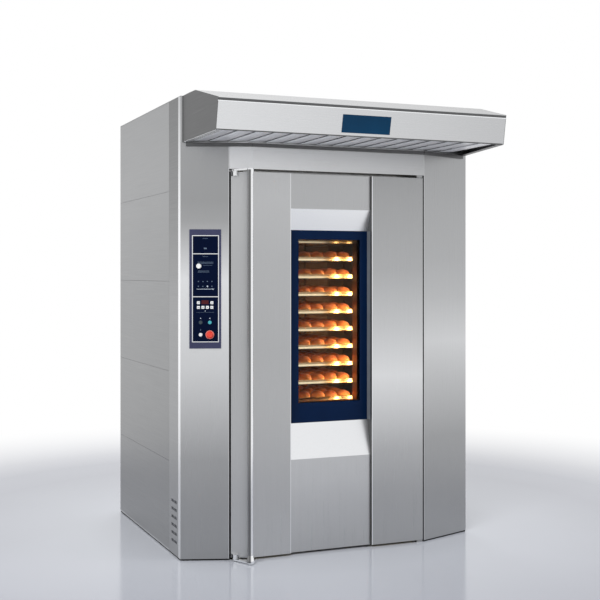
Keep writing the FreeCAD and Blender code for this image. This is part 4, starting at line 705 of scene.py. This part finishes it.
# The gutter is painted dark, as shade.
finish_piece(join_all(bars, "canopy_gutter"), shade_steel, "cabinet")

# %% Slats under the canopy
SLAT_LOW, SLAT_WALL, SLAT_RISE, SLAT_COUNT = 2.0718, 0.0025, 0.005, 16
SLAT_FRONT, SLAT_GAP, SLAT_CORNER, WALL_GAP = -1.077, 0.0008, 0.006, 0.008


def wall_behind(x):
    """The wall's depth behind a slat, along the three stretches of WALL_LINE."""
    for (x1, y1), (x2, y2) in zip(WALL_LINE, WALL_LINE[1:]):
        if x1 <= x <= x2:
            return y1 + (y2 - y1) * (x - x1) / (x2 - x1)


first_slat = block("slat", (SLAT_GAP, SLAT_FRONT, SLAT_LOW),
                   (SLAT_PITCH - SLAT_GAP, WALL_LINE[1][1], SLAT_LOW + SLAT_WALL))
edit_faces(first_slat, lambda normal, middle: normal.x > 0.9)
bpy.ops.transform.translate(value=(0, 0, SLAT_RISE))
leave_edit()
soften(first_slat, 0.0006, 1)
slats = []
for number in range(SLAT_COUNT):
    left = SLATS_LEFT + number * SLAT_PITCH
    slat = copy_of(first_slat, (left, 0, 0))
    reach = min(wall_behind(left + SLAT_CORNER),
                wall_behind(left + SLAT_PITCH - SLAT_CORNER)) - WALL_GAP
    for point in slat.data.vertices:
        if point.co.y > SLAT_FRONT / 2 + WALL_LINE[1][1] / 2:
            point.co.y += reach - WALL_LINE[1][1]
    slats.append(slat)
bpy.data.objects.remove(first_slat)
finish_piece(join_all(slats, "canopy_slats"), filter_steel, "cabinet")
print("Slats:", len(slats))

# %% [markdown]
# ## The control panel
#
# The panel stands on the facet to the left of the door. A silver trim frame holds three dark
# modules. The middle one has a knob and small lamps, and the lower one has a red display, two
# rows of square keys and four push buttons. The keys are a printed membrane, so they do not move.
# Places on the facet are two numbers: metres along it from the cabinet's corner, and the height.
# %% Facet helpers
side_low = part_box("side_panels")[0]
CORNER = Vector((side_low.x, -0.560, 0))
FACET_ANGLE = math.atan2(121, 334)
FACET = Matrix.Translation(CORNER) @ Matrix.Rotation(-FACET_ANGLE, 4, "Z")
PANEL_FACE, RAIL_BACK, MODULE_BACK = 0.012, 0.011, 0.0112
MODULE_FACE = PANEL_FACE + 0.0008


def place_on_facet(piece):
    """Moves a piece made with X along the facet and -Y out of it to its place."""
    piece.matrix_world = FACET.copy()
    return settle(piece)


def facet_block(name, along, heights, depths, bevel=0.0006):
    """A block between two places along the facet, two heights and two depths out of it."""
    piece = block(name, (along[0], -depths[1], heights[0]), (along[1], -depths[0], heights[1]))
    return soften(piece, bevel) if bevel else piece


def on_panel(pieces, name, finish):
    return finish_piece(place_on_facet(join_all(pieces, name)), finish, "cabinet")


# %% Trim frame and modules
RAIL = 0.0042
FRAME_LEFT, FRAME_RIGHT, FRAME_LOW, FRAME_HIGH = 0.058, 0.191, 1.081, 1.610
DIVIDERS = (1.306, 1.518)
rail_depths = (RAIL_BACK, PANEL_FACE + 0.0026)
rails = [facet_block("rail", (left, left + RAIL), (FRAME_LOW, FRAME_HIGH), rail_depths)
         for left in (FRAME_LEFT, FRAME_RIGHT - RAIL)]
rail_depths = (RAIL_BACK, PANEL_FACE + 0.0024)
for height in (FRAME_LOW, DIVIDERS[0] - RAIL / 2, DIVIDERS[1] - RAIL / 2, FRAME_HIGH - RAIL):
    rails.append(facet_block("rail", (FRAME_LEFT + RAIL, FRAME_RIGHT - RAIL),
                             (height, height + RAIL), rail_depths))
on_panel(rails, "panel_trim", bright_steel)

floors = []
levels = (FRAME_LOW, *DIVIDERS, FRAME_HIGH)
for low, high in zip(levels, levels[1:]):
    floors.append(recess_face(
        facet_block("module", (FRAME_LEFT + RAIL / 2, FRAME_RIGHT - RAIL / 2), (low, high),
                    (MODULE_BACK, MODULE_FACE), bevel=0),
        lambda normal, middle: normal.y < -0.9, RAIL * 0.8, 0.0003))
on_panel(floors, "panel_modules", module_face)
print("Trim rails:", len(rails), "modules:", len(floors))

# %% Printed marks, display and keys
PRINT_DEPTHS = (MODULE_FACE - 0.0006, MODULE_FACE + 0.0002)
PANEL_MIDDLE = 0.1235
KEY_COLUMNS = (0.0895, 0.1120, 0.1340, 0.1560)


def marks(name, places, finish):
    """Flat printed marks; a place is its middle along and up the facet, its width and height."""
    flats = [facet_block("mark", (u - wide / 2, u + wide / 2), (z - tall / 2, z + tall / 2),
                         PRINT_DEPTHS, bevel=0.0001) for u, z, wide, tall in places]
    return on_panel(flats, name, finish)


dashes = [(PANEL_MIDDLE + step * 0.0052, z, 0.0038, 0.0022)
          for z in (1.5935, 1.5045) for step in (-2, -1, 0, 1, 2)]
scales = [(PANEL_MIDDLE + 0.001, z, 0.078, 0.0014) for z in (1.4775, 1.4735, 1.4695)]
scales += [(PANEL_MIDDLE - 0.009, z, 0.056, 0.0012) for z in (1.4345, 1.4305, 1.4265)]
scales += [(PANEL_MIDDLE + 0.012, 1.4605, 0.044, 0.0012), (PANEL_MIDDLE, 1.2290, 0.088, 0.0009)]
lamps_off = [(u, z, 0.0052, 0.0052) for u in KEY_COLUMNS for z in (1.3815, 1.3575)
             if (u, z) != (KEY_COLUMNS[2], 1.3575)]
marks("panel_faint_marks", dashes + scales + lamps_off
      + [(0.1235, 1.5445, 0.014, 0.0075), (0.1008, 1.1420, 0.002, 0.009)], faint_print)
marks("panel_clear_marks",
      [(KEY_COLUMNS[2], 1.3575, 0.0072, 0.0072), (PANEL_MIDDLE, 1.3437, 0.086, 0.0022),
       (0.1620, 1.3437, 0.009, 0.0046), (0.1235, 1.2360, 0.0036, 0.0042),
       (0.1010, 1.1995, 0.0046, 0.0046), (0.1460, 1.1995, 0.0046, 0.0046)], clear_print)

display = facet_block("display", (0.1050, 0.1395), (1.2695, 1.2890),
                      (MODULE_BACK, MODULE_FACE + 0.0004), bevel=0)
recess_face(display, lambda normal, middle: normal.y < -0.9, 0.0012, 0.0005)
on_panel([soften(display, 0.0002, 1)], "panel_display", display_face)

KEY, KEY_FACE = 0.0142, 0.0138
key_places = [(KEY_COLUMNS[0], 1.2765), (KEY_COLUMNS[3], 1.2765)]
key_places += [(u, 1.2535) for u in KEY_COLUMNS]
first_key = facet_block("key", (-KEY / 2, KEY / 2), (-KEY / 2, KEY / 2), (MODULE_BACK, KEY_FACE),
                        bevel=0)
recess_face(first_key, lambda normal, middle: normal.y < -0.9, 0.0016, -0.0005)
soften(first_key, 0.0004)
keys = [copy_of(first_key, (u, 0, z)) for u, z in key_places]
bpy.data.objects.remove(first_key)
on_panel(keys, "panel_keys", white_plastic)
KEY_TOP = (0.0141, 0.0146)
ICON_SIZES = ((0.0070, 0.0024), (0.0036, 0.0060), (0.0082, 0.0020), (0.0040, 0.0064),
              (0.0044, 0.0044), (0.0056, 0.0030))
icons = [facet_block("icon", (u - wide / 2, u + wide / 2), (z - tall / 2, z + tall / 2), KEY_TOP,
                     bevel=0.0001) for (u, z), (wide, tall) in zip(key_places, ICON_SIZES)]
on_panel(icons, "panel_key_icons", faint_print)
print("Keys:", len(keys))

# %% [markdown]
# ### Rings round the push buttons
#
# Each push button comes through a collar that is screwed to the panel. A collar is a short
# cylinder whose front is inset and pushed in, so it has a real lip. The stop button sits on a
# wider, rose-coloured disc.
# %% Button collars


def collar(name, u, z, radius, lip, front):
    """A ring on the panel: a short cylinder with its front inset and recessed."""
    ring = rod(name, (u, -0.0115, z), (u, -front, z), radius, sides=32)
    recess_face(ring, lambda normal, middle: normal.y < -0.9, lip, 0.0012)
    return soften(ring, 0.0003)


BUTTONS = {"start": (0.1005, 1.179), "steam": (0.146, 1.179), "lamp": (0.1005, 1.1185)}
STOP_BUTTON = (0.146, 1.1185)
collars = [collar("ring", u, z, 0.0116, 0.0015, PANEL_FACE + 0.0026)
           for u, z in BUTTONS.values()]
on_panel(collars, "button_collars", navy_paint)
on_panel([collar("ring", *STOP_BUTTON, 0.0212, 0.0022, PANEL_FACE + 0.0034)], "stop_collar",
         rose_plastic)

# %% [markdown]
# ## The step beside the window
#
# The window sits deeper than the door's leaves. The wall of that step gets a dull grey, painted
# shade on the return, which stays grey beside the dark window border; polished steel would mirror
# the border there.
# %% Step wall
# Painted shade: a dull grey on the step's return wall.
step_shade_grey = moulded("step_shade_grey", picture_colour(122, 125, 130), 0.55, 300, gloss=0.3)
leaf_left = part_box("door_panel_right")[0].x
STEP_FRONT, STEP_BACK, STEP_LOW, STEP_HIGH = -0.6640, -0.6255, 0.661, 1.641
step = block("step_wall", (leaf_left - 0.0012, STEP_FRONT, STEP_LOW),
             (leaf_left - 0.0001, STEP_BACK, STEP_HIGH))
recess_face(step, lambda normal, middle: normal.x < -0.9, 0.0015, 0.0002)
finish_piece(soften(step, 0.0002, 1), step_shade_grey, "door")

# %% [markdown]
# ## Small sheet-metal details
#
# Behind the slots of the side strip hangs a fine mesh that keeps flour dust out; its grey is
# painted shade, the dim inside that the slots show. The rear and the roof are screwed on, the
# cable gland has its lock nut and the water inlet its union nut.
# One screw is modelled and copied, each copy with its own mesh.
# %% Mesh behind the vent slots
SCREEN_OUTER, SCREEN_INNER = 0.0030, 0.0042
# Painted shade: the mesh's grey stands in for the dim inside behind the slots.
vents = block("vent_screen", (side_low.x + SCREEN_OUTER, -0.512, 0.050),
              (side_low.x + SCREEN_INNER, -0.374, 0.300))
recess_face(vents, lambda normal, middle: normal.x < -0.9, 0.004, 0.0004)
finish_piece(soften(vents, 0.0002, 1), vent_shade_mesh, "cabinet")

# %% Screws and nuts
SCREW_RADIUS, SCREW_HEAD = 0.0062, 0.0022


def screw(name, place, facing):
    """A round head with a recess in it, standing on a sheet."""
    place, facing = Vector(place), Vector(facing)
    head = rod(name, place - 0.0005 * facing, place + SCREW_HEAD * facing, SCREW_RADIUS, sides=12)
    recess_face(head, lambda normal, middle: normal.dot(facing) > 0.9, 0.0036, 0.0012)
    return soften(head, 0.0008, 1)


rear_low, rear_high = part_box("rear_panel")
roof_low, roof_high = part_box("roof_panel")
REAR_FACE, REAR_MARGIN = 0.680, 0.014
REAR_COLUMNS, REAR_LINES, REAR_LINE_PITCH = 4, 6, 0.44
ROOF_COLUMNS, ROOF_LINES, ROOF_COLUMN_PITCH, ROOF_LINE_PITCH = 5, 3, 0.393, 0.54
rear_screw = screw("screw", (rear_low.x + REAR_MARGIN, REAR_FACE, 0.05), (0, 1, 0))
across = rear_high.x - rear_low.x - 2 * REAR_MARGIN
screws = [rear_screw]
for column in range(REAR_COLUMNS):
    for line in range(REAR_LINES):
        if column or line:
            screws.append(copy_of(rear_screw, (column * across / (REAR_COLUMNS - 1), 0,
                                               line * REAR_LINE_PITCH)))
roof_screw = screw("screw", (roof_low.x + 0.03, roof_high.y - 0.02, roof_high.z), (0, 0, 1))
screws.append(roof_screw)
for column in range(ROOF_COLUMNS):
    for line in range(ROOF_LINES):
        if column or line:
            screws.append(copy_of(roof_screw, (column * ROOF_COLUMN_PITCH,
                                               -line * ROOF_LINE_PITCH, 0)))
finish_piece(join_all(screws, "sheet_screws"), dull_steel, "cabinet")


FITTING_HEIGHT = 2.150
CORNER_RATIO = 1.155  # a hexagon's width over its corners, for one of its width over the flats


def nut(name, centre, half_width, thickness, bore, facing=(0, 1, 0)):
    """A six-sided nut with a bored, bevelled face."""
    centre, facing = Vector(centre), Vector(facing)
    body = rod(name, centre, centre + thickness * facing, half_width * CORNER_RATIO, sides=6)
    recess_face(body, lambda normal, middle: normal.dot(facing) > 0.9,
                half_width * CORNER_RATIO - bore, 0.0016)
    return soften(body, 0.0010)


nuts = [nut("nut", (-0.690, REAR_FACE, FITTING_HEIGHT), 0.021, 0.0075, 0.0172),
        nut("nut", (0.767, REAR_FACE, FITTING_HEIGHT), 0.017, 0.0090, 0.0138)]
finish_piece(join_all(nuts, "gland_and_inlet_nuts"), dull_steel, "cabinet")
print("Screws:", len(screws), "nuts:", len(nuts))

# %% [markdown]
# ## Bread on the trays
#
# Every tray carries long rolls in rows. One roll is shaped from a low sphere: its bottom is
# pressed flat and its ends are drawn to soft points. It is copied in rows over a tray, each
# copy turned and moved a little, because hand-laid rolls are never in line. Three such tray
# loads are made and repeated up the rack. The crust is browner on top than at the sides.
# %% Crust


def crust_finish(name):
    finish, tree, shader = start_finish(name, (0.62, 0.28, 0.08), 0, 0.33)
    at = coordinates(tree)
    bake = graded(tree, at["NZ"], [(-0.4, (0.80, 0.46, 0.17)), (0.15, (0.64, 0.25, 0.07)),
                                   (0.6, (0.36, 0.095, 0.035)), (1.0, (0.22, 0.05, 0.022))])
    blotches = noise(tree, (38, 38, 38), detail=3)
    mottled = mix_colours(tree, spread(tree, blotches, 0.0, 0.55), bake, (0.60, 0.24, 0.07))
    tree.links.new(mottled, shader.inputs["Base Color"])
    pores = noise(tree, (420, 420, 420), detail=2)
    tree.links.new(spread(tree, pores, 0.26, 0.42), shader.inputs["Roughness"])
    roughen(tree, shader, blotches, 0.25, 0.003)
    return finish


crust = crust_finish("crust")

# %% One roll
ROLL = Vector((0.0275, 0.0600, 0.0280))


def model_roll():
    deselect()
    bpy.ops.mesh.primitive_uv_sphere_add(segments=10, ring_count=7, radius=1,
                                         rotation=(math.radians(90), 0, 0))
    roll = bpy.context.object
    roll.name = roll.data.name = "roll"
    roll.scale = (ROLL.x, ROLL.z, ROLL.y)
    settle(roll)
    edit_faces(roll, lambda normal, middle: abs(middle.y) > 0.8 * ROLL.y)
    bpy.ops.transform.resize(value=(0.72, 1.0, 0.72))
    bpy.ops.mesh.select_all(action="SELECT")
    bpy.ops.transform.translate(value=(0, 0, ROLL.z * 0.72))
    net = bmesh.from_edit_mesh(roll.data)
    for point in net.verts:
        point.co.z = max(point.co.z, 0.0)
    bmesh.update_edit_mesh(roll.data)
    bpy.ops.mesh.remove_doubles(threshold=0.0004)
    bpy.ops.mesh.normals_make_consistent(inside=False)
    leave_edit()
    bpy.ops.object.shade_smooth()
    return roll


roll = model_roll()
print("One roll:", len(roll.data.polygons), "faces,", [round(v, 3) for v in roll.dimensions])

# %% Rows of rolls on every tray
TRAY_WALL = 0.002
COLUMNS, ROWS = 7, 6
COLUMN_PITCH, ROW_PITCH = 0.077, 0.126
LAY_ANGLE = math.radians(14)
chance = random.Random(11)


def tray_load():
    """One tray's rolls as a single piece, on the lowest tray."""
    rolls = []
    for column in range(COLUMNS):
        for row in range(ROWS):
            twin = copy_of(roll, (0, 0, 0))
            size = chance.uniform(0.93, 1.06)
            across = (column - (COLUMNS - 1) / 2) * COLUMN_PITCH + chance.uniform(-1, 1) * 0.003
            deep = (row - (ROWS - 1) / 2) * ROW_PITCH + chance.uniform(-1, 1) * 0.004
            place = Vector((across, deep, TRAY_FLOOR + TRAY_WALL + 0.0004))
            turn = LAY_ANGLE + chance.uniform(-1, 1) * math.radians(7)
            risen = Vector((size, size, chance.uniform(0.94, 1.08)))
            twin.data.transform(Matrix.LocRotScale(place, Matrix.Rotation(turn, 3, "Z"), risen))
            rolls.append(twin)
    return join_all(rolls, "load")


loads = [tray_load() for _ in range(3)]
for number in range(TRAYS):
    bread = copy_of(loads[number % 3], (0, 0, number * TRAY_PITCH))
    bread.name = bread.data.name = f"bread_{number + 1:02d}"
    finish_piece(bread, crust, "rack")
for spare in [roll, *loads]:
    bpy.data.objects.remove(spare)
print("Rolls:", TRAYS * COLUMNS * ROWS)

# %% [markdown]
# ## Floor and background
#
# The oven stands on a plain pale floor that fades to white behind it. From about two metres out
# the floor is painted darker, a ring of painted shadow round the oven, before it fades. The fade
# and the ring go by distance from the oven, in the floor's own coordinates. What the camera, a
# reflection or the glass sees far away is plain white; the light that falls on the oven stays soft.
# %% Rays that see the white studio


def seen_by_lens(tree):
    """1 for camera, mirror and glass rays, 0 for the light that falls on things."""
    paths = tree.nodes.new("ShaderNodeLightPath")
    first = calculate(tree, "MAXIMUM", paths.outputs["Is Camera Ray"],
                      paths.outputs["Is Glossy Ray"])
    return calculate(tree, "MAXIMUM", first, paths.outputs["Is Transmission Ray"])


def mix_shaders(tree, share, first, second, out):
    both = tree.nodes.new("ShaderNodeMixShader")
    tree.links.new(share, both.inputs["Fac"])
    tree.links.new(first, both.inputs[1])
    tree.links.new(second, both.inputs[2])
    tree.links.new(both.outputs["Shader"], out)


# %% Floor
# Painted shadow: the floor is darker from two metres out, then fades to white.
FLOOR_SHADES_AND_SHADOW = [(0.0, (0.64, 0.66, 0.71)), (1.1, (0.62, 0.64, 0.69)), (2.0, (0.44, 0.45, 0.50)),
                (2.8, (0.46, 0.47, 0.52)), (4.2, (0.9, 0.91, 0.93))]
FADE_START, FADE_END, FLOOR_SIZE = 2.4, 4.3, 60
deselect()
bpy.ops.mesh.primitive_plane_add(size=FLOOR_SIZE, location=(0, 0, 0))
floor = bpy.context.object
floor.name = "floor"
floor_finish, tree, shader = start_finish("floor_finish", FLOOR_SHADES_AND_SHADOW[0][1], 0, 0.12)
shader.inputs["Specular IOR Level"].default_value = 0.3
place = tree.nodes.new("ShaderNodeTexCoord")
distance = tree.nodes.new("ShaderNodeVectorMath")
distance.operation = "LENGTH"
tree.links.new(place.outputs["Object"], distance.inputs[0])
fade = spread(tree, distance.outputs["Value"], 0, 1, FADE_START, FADE_END)
shades = graded(tree, distance.outputs["Value"], FLOOR_SHADES_AND_SHADOW)
cloud = spread(tree, noise(tree, (0.8, 0.8, 0.8), detail=2), 0, 1)
tree.links.new(mix_colours(tree, cloud, shades, (0.95, 0.95, 0.95), "MULTIPLY"),
               shader.inputs["Base Color"])
white = tree.nodes.new("ShaderNodeEmission")
mix_shaders(tree, calculate(tree, "MULTIPLY", seen_by_lens(tree), fade), shader.outputs["BSDF"],
            white.outputs["Emission"], tree.nodes["Material Output"].inputs["Surface"])
floor.data.materials.append(floor_finish)

# %% [markdown]
# ## Light
#
# A broad lamp high on the left of the camera gives the canopy and the sloping sheets their
# brightness, a weaker one on the right keeps the right wing readable, one behind lights the
# rear, and the white world fills the rest. Large soft lamps are what a studio uses on brushed
# steel, because small ones would leave hot spots.
# %% World
world = bpy.data.worlds.new("studio")
bpy.context.scene.world = world
world.use_nodes = True
tree = world.node_tree
tree.nodes.clear()
out = tree.nodes.new("ShaderNodeOutputWorld")
back = tree.nodes.new("ShaderNodeBackground")
back.inputs["Color"].default_value = (1, 1, 1, 1)
fill = tree.nodes.new("ShaderNodeBackground")
fill.inputs["Color"].default_value = (0.93, 0.95, 1.0, 1)
fill.inputs["Strength"].default_value = 0.62
mix_shaders(tree, seen_by_lens(tree), fill.outputs["Background"], back.outputs["Background"],
            out.inputs["Surface"])

# %% Studio lamps


def area_lamp(name, place, target, width, height, watts, colour=(1, 1, 1)):
    deselect()
    turn = (Vector(target) - Vector(place)).to_track_quat("-Z", "Y").to_euler()
    bpy.ops.object.light_add(type="AREA", location=place, rotation=turn)
    lamp = bpy.context.object
    lamp.name = name
    lamp.data.shape = "RECTANGLE"
    lamp.data.size, lamp.data.size_y = width, height
    lamp.data.energy = watts
    lamp.data.color = colour
    lamp.visible_camera = False
    return lamp


for name, place, target, width, height, watts in (
        ("key_lamp", (-3.6, -4.4, 4.6), (0, 0, 1.2), 3.2, 3.2, 210),
        ("right_lamp", (4.6, -3.6, 3.4), (0, 0, 1.1), 2.6, 2.6, 60),
        ("rear_lamp", (0.5, 4.8, 4.6), (0, 0, 1.4), 3.5, 2.5, 80)):
    studio = area_lamp(name, place, target, width, height, watts)
    studio.visible_glossy = False

# %% [markdown]
# ### Lamps in the door
#
# Two lamp tubes stand in the door's right stile, beside the window, where a baker wants the
# light: it rakes across the tray fronts, and the polished rims mirror it. The tubes of the frame
# glow, and a warm lamp beside each one does the lighting, because a thin glowing mesh alone
# gives a grainy picture. The lamps ride on the door.
# %% Lamps in the door
TUBE_Y, TUBE_LOW, TUBE_HIGH = -0.547, 0.70, 1.52
for name, lamp_x, watts in (("near_tube_light", 0.226, 3.6), ("far_tube_light", 0.306, 2.6)):
    middle = (TUBE_LOW + TUBE_HIGH) / 2
    tube_light = area_lamp(name, (lamp_x, TUBE_Y, middle), (lamp_x - 0.25, 0.0, middle), 0.016,
                           TUBE_HIGH - TUBE_LOW, watts, (1.0, 0.62, 0.27))
    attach(tube_light, "door")
